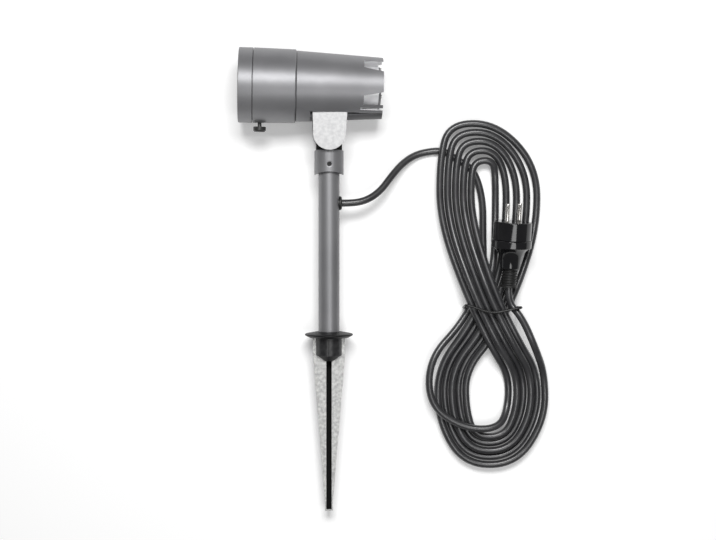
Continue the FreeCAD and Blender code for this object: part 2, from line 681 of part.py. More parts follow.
def make_knuckle():
    body = new_body("knuckle")
    bore_r = stem_r + slide_gap + bush_wall
    step_y = stem_top + slot_gap * 5
    turn(body, [
        (bore_r, collar_low - collar_arch), (collar_r, collar_low - collar_arch), (collar_r, collar_high),
        (passage_r, collar_high), (passage_r, step_y), (bore_r, step_y)], axis="V_Axis")
    disc = new_sketch(body)
    draw_circle(disc, 0, pivot_height, tongue_r)
    pad(body, disc, tongue_half * 2, both_sides=True)
    block = new_sketch(body)
    draw_box(block, -tongue_r, tongue_r, collar_high - 2, pivot_height)
    pad(body, block, tongue_half * 2, both_sides=True)

    outside = new_sketch(body, "XZ", -(pivot_height + tongue_r + 5))
    draw_circle(outside, 0, 0, collar_r * 2)
    draw_circle(outside, 0, 0, collar_r)
    cut(body, outside, pivot_height + tongue_r + 5 - collar_low, forward=True)

    arch = new_sketch(body)
    arch_r = (collar_r * collar_r + collar_arch * collar_arch) / (collar_arch * 2)
    draw_circle(arch, 0, collar_low + collar_arch - arch_r, arch_r)
    cut(body, arch, collar_r * 3, both_sides=True)

    pivot_hole = new_sketch(body)
    draw_circle(pivot_hole, 0, pivot_height, pivot_bush_r)
    cut(body, pivot_hole, tongue_half * 3, both_sides=True)

    passage = new_sketch(body, "XZ", -(stem_top + edge_bevel))
    draw_circle(passage, passage_back, 0, core_bundle_r + passage_gap)
    cut(body, passage, pivot_height)

    grub_hole = new_sketch(body)
    draw_circle(grub_hole, 0, grub_height, grub_r)
    cut(body, grub_hole, collar_r * 2, forward=True)
    grub_sink = new_sketch(body, "XY", collar_r - 0.8)
    draw_circle(grub_sink, 0, grub_height, grub_sink_r)
    cut(body, grub_sink, collar_r, forward=True)
    return keep(body, "lamp")


def make_knuckle_fittings():
    bush = new_body("pivot_bush")
    ring = new_sketch(bush)
    draw_circle(ring, 0, pivot_height, pivot_bush_r)
    draw_circle(ring, 0, pivot_height, bolt_r + slide_gap)
    pad(bush, ring, tongue_half * 2, both_sides=True)
    keep(bush, "lamp")

    washers = new_body("friction_washers")
    for side in (1, -1):
        raised = tongue_half if side > 0 else -(tongue_half + washer_t)
        ring = new_sketch(washers, "XY", raised)
        draw_circle(ring, 0, pivot_height, washer_r)
        draw_circle(ring, 0, pivot_height, bolt_r + slide_gap)
        pad(washers, ring, washer_t)
    keep(washers, "lamp")

    grub = new_body("grub_screw")
    end = new_sketch(grub, "XY", stem_r + slide_gap + bush_wall)
    draw_circle(end, 0, grub_height, grub_r)
    pad(grub, end, grub_length)
    socket = new_sketch(grub, "XY", stem_r + slide_gap + bush_wall + grub_length)
    draw_circle(socket, 0, grub_height, grub_r * 0.55)
    cut(grub, socket, grub_length * 0.7)
    keep(grub, "lamp")

    bundle = new_body("knuckle_lead")
    end = new_sketch(bundle, "XZ", -(stem_top + edge_bevel * 2))
    draw_circle(end, passage_back, 0, core_bundle_r)
    pad(bundle, end, pivot_height + tongue_r * 0.45 - stem_top - edge_bevel * 2, reverse=True)
    return keep(bundle, "lamp")


make_knuckle()
make_knuckle_fittings()


# ---- stem, outlet and ground parts ----

def make_stem():
    body = new_body("stem")
    bore_r = stem_r - stem_wall
    turn(body, [(bore_r, flange_hub), (stem_r, flange_hub), (stem_r, stem_top), (bore_r, stem_top)],
         axis="V_Axis")
    outlet = new_sketch(body, "YZ")
    draw_circle(outlet, grommet_height, 0, grommet_neck_r)
    cut(body, outlet, stem_r * 2, forward=True)
    return keep(body, "lamp")


def make_swivel_bush():
    body = new_body("swivel_bush")
    low = collar_low + collar_arch + 1
    inner = stem_r + slide_gap
    outer = inner + bush_wall
    turn(body, [(inner, low), (outer, low), (outer, stem_top), (inner, stem_top)], axis="V_Axis")
    return keep(body, "lamp")


def make_grommet():
    body = new_body("cable_grommet")
    inside_x = stem_r - stem_wall - 1.5
    lip_x = stem_r
    turn(body, [
        (inside_x, cord_r), (inside_x, grommet_neck_r), (lip_x, grommet_neck_r), (lip_x, grommet_lip_r),
        (lip_x + grommet_lip - 0.8, grommet_lip_r), (lip_x + grommet_lip, grommet_lip_r - 1.4),
        (lip_x + grommet_lip, cord_r)])
    return keep(body, "grommet")


def make_stem_lead():
    """The cord inside the stem: in through the grommet, round a bend and up to the stem's end."""
    body = doc.addObject("Part::Feature", "stem_lead")
    body.Label = "stem_lead"
    bend = 6.0
    x0 = stem_r.number + grommet_lip.number
    y0, y1 = grommet_height.number, stem_top.number - 2
    corner = bend * (1 - math.sqrt(0.5))
    path = Part.Wire([
        Part.LineSegment(Vec(x0, y0, 0), Vec(bend, y0, 0)).toShape(),
        Part.Arc(Vec(bend, y0, 0), Vec(corner, y0 + corner, 0), Vec(0, y0 + bend, 0)).toShape(),
        Part.LineSegment(Vec(0, y0 + bend, 0), Vec(0, y1, 0)).toShape()])
    end = Part.Wire([Part.Circle(Vec(x0, y0, 0), Vec(1, 0, 0), cord_r.number).toShape()])
    body.Shape = path.makePipeShell([end], True, False)
    return keep(body, "lamp")


def make_ground_flange():
    """The flat of the flange's underside goes round a recess for the socket and the spike."""
    body = new_body("ground_flange")
    bore_r = stem_r - stem_wall
    recess_r = spike_top_half + flange_recess_gap
    turn(body, [
        (bore_r, socket_seat), (recess_r, socket_seat), (recess_r, 0), (flange_r - flange_slope, 0),
        (flange_r - 1.2, flange_edge_low - 0.5), (flange_r, flange_edge_low + 0.3),
        (flange_r, flange_edge_low + flange_edge - 0.3),
        (flange_r - 1.2, flange_edge_low + flange_edge + 0.4),
        (stem_r + 2.5, flange_hub), (bore_r, flange_hub)], axis="V_Axis")
    return keep(body, "lamp")


def make_ground_socket():
    body = new_body("ground_socket")
    spigot = stem_r - stem_wall
    cone_end = -(socket_depth + socket_cone)
    turn(body, [
        (spigot - spigot_wall, 0), (spigot - spigot_wall, spigot_reach), (spigot - 1, spigot_reach),
        (spigot, spigot_reach - 1), (spigot, socket_seat), (socket_r, socket_seat), (socket_r, -socket_depth),
        (socket_tip_r, cone_end), (0, cone_end), (0, 0)], axis="V_Axis")
    foot = cone_end - 5
    sheet_slot = new_sketch(body, "YZ")
    draw_box(sheet_slot, foot, -1, -(sheet_t / 2 + slot_gap), sheet_t / 2 + slot_gap)
    cut(body, sheet_slot, socket_r * 3, both_sides=True)
    channel_slot = new_sketch(body, "YZ")
    draw_box(channel_slot, foot, -1, -(channel_deep + sheet_t + socket_r), 0)
    cut(body, channel_slot, (channel_half + sheet_t + slot_gap) * 2, both_sides=True)
    line = new_sketch(body, "XY", socket_r - 1.2)
    draw_box(line, -2.6, -0.8, foot, -1)
    cut(body, line, 3, forward=True)
    return keep(body, "lamp")


def make_spike():
    """Pressed sheet: two flat blades beside an open channel, all tapering to a blunt tip."""
    body = new_body("ground_spike")
    tip_half = channel_half + sheet_t
    straight_y = -(spike_reach - spike_tip_length)
    blades = new_sketch(body)
    draw_outline(blades, [
        (-spike_top_half, -1), (spike_top_half, -1), (spike_top_half, -spike_shoulder),
        (tip_half, straight_y), (tip_half, -spike_reach), (-tip_half, -spike_reach),
        (-tip_half, straight_y), (-spike_top_half, -spike_shoulder)])
    pad(body, blades, sheet_t, both_sides=True)
    walls = new_sketch(body, "YZ")
    draw_outline(walls, [
        (-1, 0), (-1, -(channel_deep + sheet_t)),
        (-spike_reach, -(channel_shallow + sheet_t)), (-spike_reach, 0)])
    pad(body, walls, tip_half * 2, both_sides=True)
    hollow = new_sketch(body, "YZ")
    hollow_end = -(spike_reach - sheet_t)
    draw_outline(hollow, [
        (0, sheet_t), (0, -channel_deep), (hollow_end, -channel_shallow), (hollow_end, sheet_t)])
    cut(body, hollow, channel_half * 2, both_sides=True)
    return keep(body, "lamp")


make_stem()
make_swivel_bush()
make_grommet()
make_stem_lead()
make_ground_flange()
make_ground_socket()
make_spike()


# ---- plug, drawn upright: pins along +Y from the pin face at y = 0 ----

plug_r = size("plug_r", 20.0, "plug body radius")
plug_flat = size("plug_flat", 18.9, "flats of the plug body from its axis")
plug_front = size("plug_front", 19.4, "plug body ahead of its grip ring")
plug_ring_r = size("plug_ring_r", 21.2, "grip ring radius")
plug_ring = size("plug_ring", 7.8, "grip ring width")
plug_back = size("plug_back", 22.8, "tapered back of the plug")
plug_back_r = size("plug_back_r", 11.0, "radius where the back meets the sleeve")
sleeve_span = size("sleeve_span", 19.0, "bend relief length")
sleeve_r = size("sleeve_r", 7.4, "bend relief radius between ribs")
sleeve_end_r = size("sleeve_end_r", 9.3, "flared end of the bend relief")
pin_r = size("pin_r", 2.4, "plug pin radius")
pin_reach = size("pin_reach", 19.0, "plug pin length")
pin_root_r = size("pin_root_r", 1.9, "pin's root radius inside the plug body")
pin_root = size("pin_root", 8.0, "pin's root length")
pin_apart = size("pin_apart", 19.0, "distance between the plug pins")
clip_wide = size("clip_wide", 5.0, "earth clip width")
clip_t = size("clip_t", 0.8, "earth clip thickness")
RELIEF_RIBS = 5


def make_plug_body():
    body = new_body("plug_body")
    ring_y = -plug_front
    back_y = ring_y - plug_ring
    end_y = back_y - plug_back
    turn(body, [
        (0, 0), (plug_r - 1, 0), (plug_r, -1), (plug_r, ring_y), (plug_ring_r, ring_y - 0.8),
        (plug_ring_r, back_y + 0.8), (plug_r - 0.5, back_y), (plug_r - 4.5, back_y - plug_back * 0.46),
        (plug_back_r, end_y), (0, end_y)], axis="V_Axis")
    flats = new_sketch(body, "XZ", -1)
    for side in (-1, 1):
        low, high = sorted((plug_flat.number * side, (plug_r.number + 1) * side))
        draw_box(flats, -plug_r, plug_r, as_size(low), as_size(high))
    cut(body, flats, plug_front, forward=True)
    grooves = new_sketch(body, "XZ", -1)
    for side in (-1, 1):
        groove_low = (plug_flat - clip_t) * side
        groove_high = (plug_flat + 1) * side
        low, high = (groove_low, groove_high) if side > 0 else (groove_high, groove_low)
        draw_box(grooves, -clip_wide / 2, clip_wide / 2, low, high)
    cut(body, grooves, plug_front, forward=True)
    holes = new_sketch(body, "XZ", -1)
    for side in (-1, 1):
        draw_circle(holes, pin_apart * side / 2, 0, pin_root_r)
    cut(body, holes, pin_root + 1, forward=True)
    return keep(body, "plug")


def make_plug_sleeve():
    """Bend relief: a sleeve with rings, flared at its end, closed by a ruled outline."""
    body = new_body("plug_sleeve")
    start = -(plug_front + plug_ring + plug_back)
    outline = [(0, start), (plug_back_r - 1.5, start)]
    step = (sleeve_span - 5) / RELIEF_RIBS
    for rib in range(RELIEF_RIBS):
        top = start - 1.5 - step * rib
        outline += [(sleeve_r, top), (sleeve_r, top - step * 0.4), (sleeve_r + 1.1, top - step * 0.5),
                    (sleeve_r + 1.1, top - step * 0.9)]
    outline += [(sleeve_r, start - sleeve_span + 3.2), (sleeve_end_r, start - sleeve_span + 2.2),
                (sleeve_end_r, start - sleeve_span), (0, start - sleeve_span)]
    turn(body, outline, axis="V_Axis")
    return keep(body, "plug")


def make_plug_metal():
    """Round pins on thinner roots, and the two earth clips in their grooves."""
    pins = new_body("plug_pins")
    ends = new_sketch(pins, "XZ")
    roots = new_sketch(pins, "XZ")
    for side in (-1, 1):
        draw_circle(ends, pin_apart * side / 2, 0, pin_r)
        draw_circle(roots, pin_apart * side / 2, 0, pin_root_r)
    pad(pins, ends, pin_reach, reverse=True)
    pad(pins, roots, pin_root)
    keep(pins, "plug")
    clips = new_body("plug_earth_clips")
    ends = new_sketch(clips, "XZ", 1)
    for side in (-1, 1):
        low, high = (plug_flat - clip_t, plug_flat) if side > 0 else (-plug_flat, clip_t - plug_flat)
        draw_box(ends, -clip_wide / 2, clip_wide / 2, low, high)
    pad(clips, ends, plug_front - 2)
    return keep(clips, "plug")


make_plug_body()
make_plug_sleeve()
make_plug_metal()
doc.recompute()


# ---- how the lamp lies: three rims touch the floor ----

head_frame = (Place(Vec(0, pivot_height.number, 0), Turn(Vec(0, 0, 1), HEAD_TILT))
              * Place(Vec(0, head_rise.number, 0), Turn()))


def lie_down():
    """Placement that lays the lamp on its front ring, the housing's rear rim and the flange."""
    head_axis = head_frame.Rotation.multVec(Vec(1, 0, 0))
    front_x = (ring_front_x + edge_bevel / 2).number
    rims = [
        (head_frame.multVec(Vec(front_x, 0, 0)), head_axis, front_r.number),
        (head_frame.multVec(Vec(rear_x.number, 0, 0)), head_axis, housing_rear_r.number),
        (Vec(0, (flange_edge_low + flange_edge / 2).number, 0), Vec(0, 1, 0), flange_r.number)]
    up = Vec(0, 0, 1)
    height = 0.0
    for _ in range(30):
        drops = [radius * math.sqrt(1 - up.dot(axis) ** 2) for _, axis, radius in rims]
        plane = Part.Plane(*[centre - up * drop for (centre, _, _), drop in zip(rims, drops)])
        up = plane.Axis if plane.Axis.z > 0 else plane.Axis * -1
        height = -up.dot(plane.Position)
    laid = Place(Vec(0, 0, height), Turn(up, Vec(0, 0, 1)))
    bounds = FreeCAD.BoundBox()
    for body, frame in pieces:
        if frame != "plug":
            shape = body.Shape.copy()
            shape.Placement = laid * piece_frame(frame)
            bounds.add(shape.optimalBoundingBox(False))
    shift = Vec(-bounds.Center.x, -bounds.Center.y, -bounds.ZMin)
    return Place(shift, Turn()) * laid


def piece_frame(frame):
    """Where a piece's own frame stands in the lamp frame."""
    return {
        "lamp": Place(),
        "grommet": Place(Vec(0, grommet_height.number, 0), Turn()),
        "head": head_frame,
        "thumb": head_frame * Place(Vec(-screw_x.number, 0, 0), Turn())}[frame]


lying = lie_down()
stem_on_floor = Vec(lying.Base.x, lying.Base.y, 0)
print("lying placement", lying)


# ---- cord: free lead from the grommet, then the tied hank ----
# These places are on the floor, measured from the lower end of the stem: x across, y along the
# stem, z up from the floor.

def on_floor(x, y, z):
    return stem_on_floor + Vec(x, y, z)


def heading(degrees, climb=0.0):
    flat = math.cos(math.radians(climb))
    turned = math.radians(degrees)
    return Vec(flat * math.cos(turned), flat * math.sin(turned), math.sin(math.radians(climb)))


diameter = 2 * cord_r.number
grommet_exit = lying.multVec(Vec(stem_r.number + grommet_lip.number, grommet_height.number, 0))
exit_way = lying.Rotation.multVec(Vec(1, 0, 0))
floor_z = cord_r.number + 0.05
hank_start = on_floor(113.5, 197.5, floor_z)
START_HEADING = 6

lead_points = [
    grommet_exit,
    grommet_exit + exit_way * 14,
    on_floor(41.9, 145.0, 28.0),
    on_floor(54.6, 154.5, 23.2),
    on_floor(65.2, 169.1, 17.2),
    on_floor(76.1, 182.3, 10.8),
    on_floor(88.1, 191.5, 6.3),
    hank_start - heading(START_HEADING) * 12.5,
    hank_start]


def rounded_path(points):
    """Straight runs joined by tangent arcs; the radii are returned with the wire."""
    edges = []
    radii = []
    start = points[0]
    for before, corner, after in zip(points, points[1:], points[2:]):
        way_in = (corner - before).normalize()
        way_out = (after - corner).normalize()
        half_turn = way_in.getAngle(way_out) / 2
        shorter = min(corner.distanceToPoint(before), corner.distanceToPoint(after))
        radius = 0.45 * shorter / math.tan(half_turn)
        reach = radius * math.tan(half_turn)
        arc_start = corner - way_in * reach
        arc_end = corner + way_out * reach
        inward = (way_out - way_in).normalize()
        middle = corner + inward * (radius / math.cos(half_turn) - radius)
        edges.append(Part.LineSegment(start, arc_start).toShape())
        edges.append(Part.Arc(arc_start, middle, arc_end).toShape())
        radii.append(radius)
        start = arc_end
    edges.append(Part.LineSegment(start, points[-1]).toShape())
    return Part.Wire(edges), radii


def tube(label, path, start, way, radius):
    """One unbroken tube along a path, kept as its own piece."""
    ring = Part.Wire([Part.Circle(start, way, radius).toShape()])
    solid = path.makePipeShell([ring], True, False)
    body = doc.addObject("Part::Feature", label)
    body.Label = label
    body.Shape = solid
    expected = math.pi * radius * radius * path.Length
    print(label, "length %.1f, volume over section times length %.5f"
          % (path.Length, solid.Volume / expected))
    pieces.append((body, "floor"))
    return body


# Hank: six figure-eight circuits. Each goes over the upper loop, down behind the waist, round the
# lower loop and up over the waist. Upper loops shrink and lower loops grow from one circuit to the
# next, and odd circuits lie a little higher, in the grooves between the even ones.
CIRCUITS = 6
WAIST_X = 170
WAIST_Y = 32
WAIST_LEAN = 26             # degrees between the stem's direction and a bundle at the waist
WAIST_STEP = 7.05           # between strands at the waist
WAIST_LIFT = 6.4            # odd circuits above the even ones at the waist
BACK_Z = 6.8                # under the front bundle, above the tie
FRONT_Z = BACK_Z + WAIST_LIFT + diameter + 1.5
FRONT_DROP = 22             # the front bundle is level from here on, below the waist
LOOP_STEP = 7.45            # between strands in the lower loop
LOOP_LIFT = 5.8             # odd circuits above the even ones in the lower loop
LOOP_Y = -60                # widest place of the lower loop
LOOP_LEFT_X = 115.0
LOOP_RIGHT_X = 199.0
LOOP_MIDDLE_X = 170
LOOP_BOTTOM_Y = -106
UPPER_LEFT_X = 117.0
UPPER_LEFT_STEP = 8.3
UPPER_LEFT_Y = 166
UPPER_Z = 13.0              # over the lead, which runs in under the upper loops
CROSSING_Z = 17.8           # first circuit, where it crosses over the others at the bottom
TOPS = [(147, 226), (151, 216.6), (155.5, 207.1), (159.8, 197.1), (163.6, 186.6)]
UPPER_RIGHT = [(163.5, 130), (176.8, 158), (188.3, 155.5), (199.3, 153), (210.2, 151), (221, 150)]
TAIL_TURN = (207, 10, 30.5, 114)
plug_tilt = 8.0             # degrees that the plug's pins point up
plug_lean = 87.0            # degrees from across to the plug's axis
plug_roll = 43.0
plug_end = (188.5, 53.0, 27.2)


def waist_place(offset, lean, drop):
    """A strand's place in one of the two bundles that cross at the waist."""
    turned = math.radians(lean)
    x = WAIST_X + drop * math.sin(turned) + offset * math.cos(turned)
    y = WAIST_Y - drop * math.cos(turned) + offset * math.sin(turned)
    return x, y


def circuit_stations(circuit):
    """Places and headings in the order of travel, as x, y, z and degrees."""
    lift = circuit % 2
    place = 0 if circuit == 0 else CIRCUITS - circuit
    middle = (CIRCUITS - 1) / 2
    stations = []
    if circuit == 0:
        stations.append((140, 186, floor_z, -30))
    else:
        stations.append((UPPER_LEFT_X + UPPER_LEFT_STEP * (circuit - 1), UPPER_LEFT_Y, UPPER_Z, 90))
        stations.append(TOPS[circuit - 1] + (UPPER_Z - 0.7, 0))
    stations.append(UPPER_RIGHT[place] + (floor_z, -90))
    back_x, back_y = waist_place((place - middle) * WAIST_STEP, -WAIST_LEAN, 0)
    stations.append((back_x, back_y, BACK_Z + WAIST_LIFT * lift, -90 - WAIST_LEAN))
    if circuit == 0:
        stations.append((105.5, -50, CROSSING_Z, -90))
        stations.append((165, -97, CROSSING_Z, 0))
        stations.append((190.5, LOOP_Y, floor_z, 90))
    else:
        low_z = floor_z + LOOP_LIFT * lift
        stations.append((LOOP_LEFT_X + LOOP_STEP * (place - 1), LOOP_Y, low_z, -90))
        stations.append((LOOP_MIDDLE_X, LOOP_BOTTOM_Y - LOOP_STEP * (circuit - 1), low_z, 0))
        stations.append((LOOP_RIGHT_X + LOOP_STEP * (circuit - 1), LOOP_Y, low_z, 90))
    if circuit < CIRCUITS - 1:
        front_x, front_y = waist_place((circuit - middle) * WAIST_STEP, WAIST_LEAN, FRONT_DROP)
        stations.append((front_x, front_y, FRONT_Z + WAIST_LIFT * lift, 90 + WAIST_LEAN))
    else:
        stations.append(TAIL_TURN)
    return stations


def arc_edge(start, way, end):
    """Arc that leaves start along way and reaches end."""
    chord = end - start
    along = Vec(chord).normalize()
    aside = way - along * way.dot(along)
    if aside.Length < 1e-7:
        return Part.LineSegment(start, end).toShape()
    bulge = Vec(aside).normalize() * (chord.Length / 2 * math.tan(way.getAngle(chord) / 2))
    return Part.Arc(start, (start + end) / 2 + bulge, end).toShape()


def biarc_edges(start, way, end, way_end):
    """Two arcs that join two places smoothly, each reached along its own heading."""
    chord = end - start
    both = way + way_end
    spread = 2 * (1 - way.dot(way_end))
    forward = chord.dot(both)
    if spread < 1e-9:
        reach = chord.dot(chord) / (4 * chord.dot(way_end))
    else:
        reach = (math.sqrt(forward ** 2 + spread * chord.dot(chord)) - forward) / spread
    corner_in = start + way * reach
    corner_out = end - way_end * reach
    joint = (corner_in + corner_out) / 2
    middle_way = (corner_out - corner_in).normalize()
    return [arc_edge(start, way, joint), arc_edge(joint, middle_way, end)]


def hank_path():
    """The whole hank, from the lead's end to the plug, with a straight diameter at both ends."""
    way = heading(START_HEADING)
    stop = on_floor(*plug_end)
    stop_way = heading(plug_lean, plug_tilt)
    stations = [(hank_start + way * diameter, way)]
    for circuit in range(CIRCUITS):
        for x, y, z, degrees in circuit_stations(circuit):
            stations.append((on_floor(x, y, z), heading(degrees)))
    stations.append((stop - stop_way * diameter, stop_way))
    edges = [Part.LineSegment(hank_start, stations[0][0]).toShape()]
    for (start, start_way), (end, end_way) in zip(stations, stations[1:]):
        edges += biarc_edges(start, start_way, end, end_way)
    edges.append(Part.LineSegment(stations[-1][0], stop).toShape())
    return Part.Wire(edges)


def least_gap(path, step=1.5, near=30.0):
    """Least clear distance of a tube to itself, measured between points that lie far apart along it."""
    points = path.discretize(Distance=step)
    apart = int(near / step)
    cells = {}
    least = 1e9
    for index, point in enumerate(points):
        cell = (int(point.x // 12), int(point.y // 12))
        for across in (-1, 0, 1):
            for along in (-1, 0, 1):
                for other in cells.get((cell[0] + across, cell[1] + along), []):
                    if index - other > apart:
                        least = min(least, point.distanceToPoint(points[other]))
        cells.setdefault(cell, []).append(index)
    return least - diameter


def make_cords():
    lead_path, radii = rounded_path(lead_points)
    print("lead radii", " ".join("%.0f" % radius for radius in radii))
    tube("cord_lead", lead_path, grommet_exit, exit_way, cord_r.number)
    path = hank_path()
    tube("cord_hank", path, hank_start, heading(START_HEADING), cord_r.number)
    arcs = [edge.Curve.Radius for edge in path.Edges if hasattr(edge.Curve, "Radius")]
    print("hank least radius %.1f, least gap to itself %.2f" % (min(arcs), least_gap(path)))
    print("free cord length %.0f" % (lead_path.Length + path.Length))


TIE_R = 1.4
TIE_LEFT_X = 142.8
TIE_RIGHT_X = 201.2
TIE_Y = 31.0
TIE_LOW_Z = 1.45
TIE_TOP_Z = 35.6
TIE_CORNER = 6.5


def make_tie():
    """Wire tie round both bundles: a closed ring with rounded corners."""
    low, high = TIE_LOW_Z, TIE_TOP_Z
    left, right, bend = TIE_LEFT_X, TIE_RIGHT_X, TIE_CORNER
    near = bend * (1 - math.sqrt(0.5))

    def spot(x, z):
        return on_floor(x, TIE_Y, z)

    edges = [
        Part.LineSegment(spot(left + bend, low), spot(right - bend, low)),
        Part.Arc(spot(right - bend, low), spot(right - near, low + near), spot(right, low + bend)),
        Part.LineSegment(spot(right, low + bend), spot(right, high - bend)),
        Part.Arc(spot(right, high - bend), spot(right - near, high - near), spot(right - bend, high)),
        Part.LineSegment(spot(right - bend, high), spot(left + bend, high)),
        Part.Arc(spot(left + bend, high), spot(left + near, high - near), spot(left, high - bend)),
        Part.LineSegment(spot(left, high - bend), spot(left, low + bend)),
        Part.Arc(spot(left, low + bend), spot(left + near, low + near), spot(left + bend, low))]
    path = Part.Wire([edge.toShape() for edge in edges])
    tube("cord_tie", path, spot(left + bend, low), Vec(1, 0, 0), TIE_R)


make_cords()
make_tie()


# ---- places and files ----

def plug_placement():
    """The plug's rear end meets the hank's end, square to it."""
    aim = Turn(Vec(0, 1, 0), heading(plug_lean, plug_tilt))
    rolled = aim * Turn(Vec(0, 1, 0), plug_roll)
    length = (plug_front + plug_ring + plug_back + sleeve_span).number
    return Place(on_floor(*plug_end) - rolled.multVec(Vec(0, -length, 0)), rolled)


for body, frame in pieces:
    if frame == "plug":
        body.Placement = plug_placement()
    elif frame != "floor":
        body.Placement = lying * piece_frame(frame)
doc.recompute()

for item in doc.Objects:
    if "Invalid" in item.State or "Error" in item.State:
        raise RuntimeError("%s did not compute" % item.Label)

os.makedirs("parts", exist_ok=True)
whole = FreeCAD.BoundBox()
for body, frame in pieces:
    shape = body.Shape
    if shape.isNull() or not shape.isValid() or shape.Volume <= 0:
        raise RuntimeError("%s has no valid solid" % body.Label)
    shape.exportStep("parts/%s.step" % body.Label)
    box = shape.optimalBoundingBox(False)
    whole.add(box)
    print("%-18s volume %9.0f  z %6.2f to %6.2f" % (body.Label, shape.Volume, box.ZMin, box.ZMax))
print("pieces", len(pieces), "box", whole)
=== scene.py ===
# %% [markdown]
# # Garden spike spotlight
# A garden lamp lies on its side: a round head in a fork, a collar, a tube stem, and a sheet-metal
# spike. Its rubber cord is wound in figures of eight, tied at the waist, with the plug on top.
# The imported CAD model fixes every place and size, so this script only dresses it: it softens
# edges, rebuilds what CAD draws too plainly, and gives each piece its finish.

# %% Load the frame
import json
import math

import bpy
from mathutils import Matrix, Quaternion, Vector


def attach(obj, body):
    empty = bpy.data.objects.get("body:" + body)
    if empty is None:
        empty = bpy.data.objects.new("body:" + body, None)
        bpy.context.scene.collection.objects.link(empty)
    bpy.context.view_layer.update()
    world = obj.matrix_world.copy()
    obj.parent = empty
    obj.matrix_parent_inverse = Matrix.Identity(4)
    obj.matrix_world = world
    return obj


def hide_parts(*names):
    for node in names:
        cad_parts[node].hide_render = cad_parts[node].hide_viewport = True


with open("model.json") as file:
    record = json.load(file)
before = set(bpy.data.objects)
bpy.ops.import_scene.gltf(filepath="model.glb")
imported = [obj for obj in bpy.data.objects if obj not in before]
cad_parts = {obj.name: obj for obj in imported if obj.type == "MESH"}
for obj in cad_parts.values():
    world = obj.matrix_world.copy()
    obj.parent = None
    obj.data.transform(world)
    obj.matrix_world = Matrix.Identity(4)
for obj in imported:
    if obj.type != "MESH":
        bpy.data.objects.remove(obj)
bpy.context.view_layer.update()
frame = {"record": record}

MM = 0.001

# %% [markdown]
# ## Directions on the lamp
# The stem and the head are each a line in space, and a third direction points out of the face that
# they turn to the camera. A finish that changes with depth, such as the shade inside the spike's
# channel, is measured in the piece's own coordinates, so it stays put when a joint moves.

# %% Lines of the stem and the head
LAMP_FACE = Vector((0.047583, -0.035799, 0.998226))
STEM_UP = Vector((0.000852, 0.999358, 0.035799))
STEM_POINT = Vector((0.019384, 0.120116, 0.033429))
COLLAR_TOP = Vector((0.019398, 0.135706, 0.033987))
HEAD_POINT = Vector((0.020447, 0.201654, 0.036302))
HEAD_REAR = Vector((0.998645, -0.019379, -0.048298))
HEAD_DOWN = Vector((-0.021074, -0.999171, -0.034829))
print("head out of square by", round(math.degrees(STEM_UP.angle(-HEAD_DOWN)), 2), "degrees")

# %% [markdown]
# ## Shared effects
# Finishes are graphs of nodes. Wiring each by hand would repeat the same lines, so a few helpers
# add a node, set what is a number and link what is an output. A node group is a graph with named
# sockets, built once and placed in many materials, each with its own values.

# %% Helpers for nodes
def new_group(name, inputs, outputs):
    tree = bpy.data.node_groups.new(name, "ShaderNodeTree")
    for label, kind, value in inputs:
        socket = tree.interface.new_socket(label, in_out="INPUT", socket_type=kind)
        socket.default_value = value
    for label in outputs:
        tree.interface.new_socket(label, in_out="OUTPUT", socket_type="NodeSocketFloat")
    return tree, tree.nodes.new("NodeGroupInput"), tree.nodes.new("NodeGroupOutput")


def math_node(tree, operation, *values):
    node = tree.nodes.new("ShaderNodeMath")
    node.operation = operation
    for socket, value in zip(node.inputs, values):
        if isinstance(value, (int, float)):
            socket.default_value = value
        else:
            tree.links.new(value, socket)
    return node.outputs[0]


def vector_node(tree, operation, first, second=None):
    node = tree.nodes.new("ShaderNodeVectorMath")
    node.operation = operation
    tree.links.new(first, node.inputs[0])
    if second is not None:
        tree.links.new(second, node.inputs[1])
    return node.outputs["Value"] if operation in ("DOT_PRODUCT", "LENGTH") else node.outputs[0]


print("helpers for groups and sums ready")

# %% [markdown]
# Three more helpers serve the materials: one stretches a value from one range to another, one puts
# a group into a graph, and one mixes two colours by a mask.

# %% Helpers for materials
def map_range(tree, value, given, wanted):
    node = tree.nodes.new("ShaderNodeMapRange")
    for label, number in zip(("From Min", "From Max", "To Min", "To Max"), given + wanted):
        node.inputs[label].default_value = number
    tree.links.new(value, node.inputs["Value"])
    return node.outputs["Result"]


def place_group(tree, group, **values):
    node = tree.nodes.new("ShaderNodeGroup")
    node.node_tree = group
    for label, value in values.items():
        node.inputs[label.replace("_", " ")].default_value = value
    return node


def mix_colours(tree, factor, first, second):
    node = tree.nodes.new("ShaderNodeMix")
    node.data_type = "RGBA"
    sockets = {entry.name: entry for entry in node.inputs if entry.type == "RGBA"}
    for label, colour in (("A", first), ("B", second)):
        if isinstance(colour, tuple):
            sockets[label].default_value = (*colour, 1)
        else:
            tree.links.new(colour, sockets[label])
    tree.links.new(factor, node.inputs[0])
    return [entry for entry in node.outputs if entry.type == "RGBA"][0]


print("helpers for materials ready")

# %% [markdown]
# Real paint and plastic are never one even colour. This group gives a broad cloud and a fine grain,
# both from noise, and every finish uses them at its own scale.

# %% Group for cloud and grain
NOISE_DETAIL = 4.0


def make_grain_group():
    tree, given, result = new_group(
        "surface_grain",
        [("Cloud size", "NodeSocketFloat", 20.0), ("Grain size", "NodeSocketFloat", 900.0)],
        ["Cloud", "Grain"])
    place = tree.nodes.new("ShaderNodeTexCoord")
    for scale, output in (("Cloud size", "Cloud"), ("Grain size", "Grain")):
        noise = tree.nodes.new("ShaderNodeTexNoise")
        noise.inputs["Detail"].default_value = NOISE_DETAIL
        tree.links.new(place.outputs["Object"], noise.inputs["Vector"])
        tree.links.new(given.outputs[scale], noise.inputs["Scale"])
        tree.links.new(noise.outputs["Fac"], result.inputs[output])
    return tree


grain_group = make_grain_group()
print("group", grain_group.name)

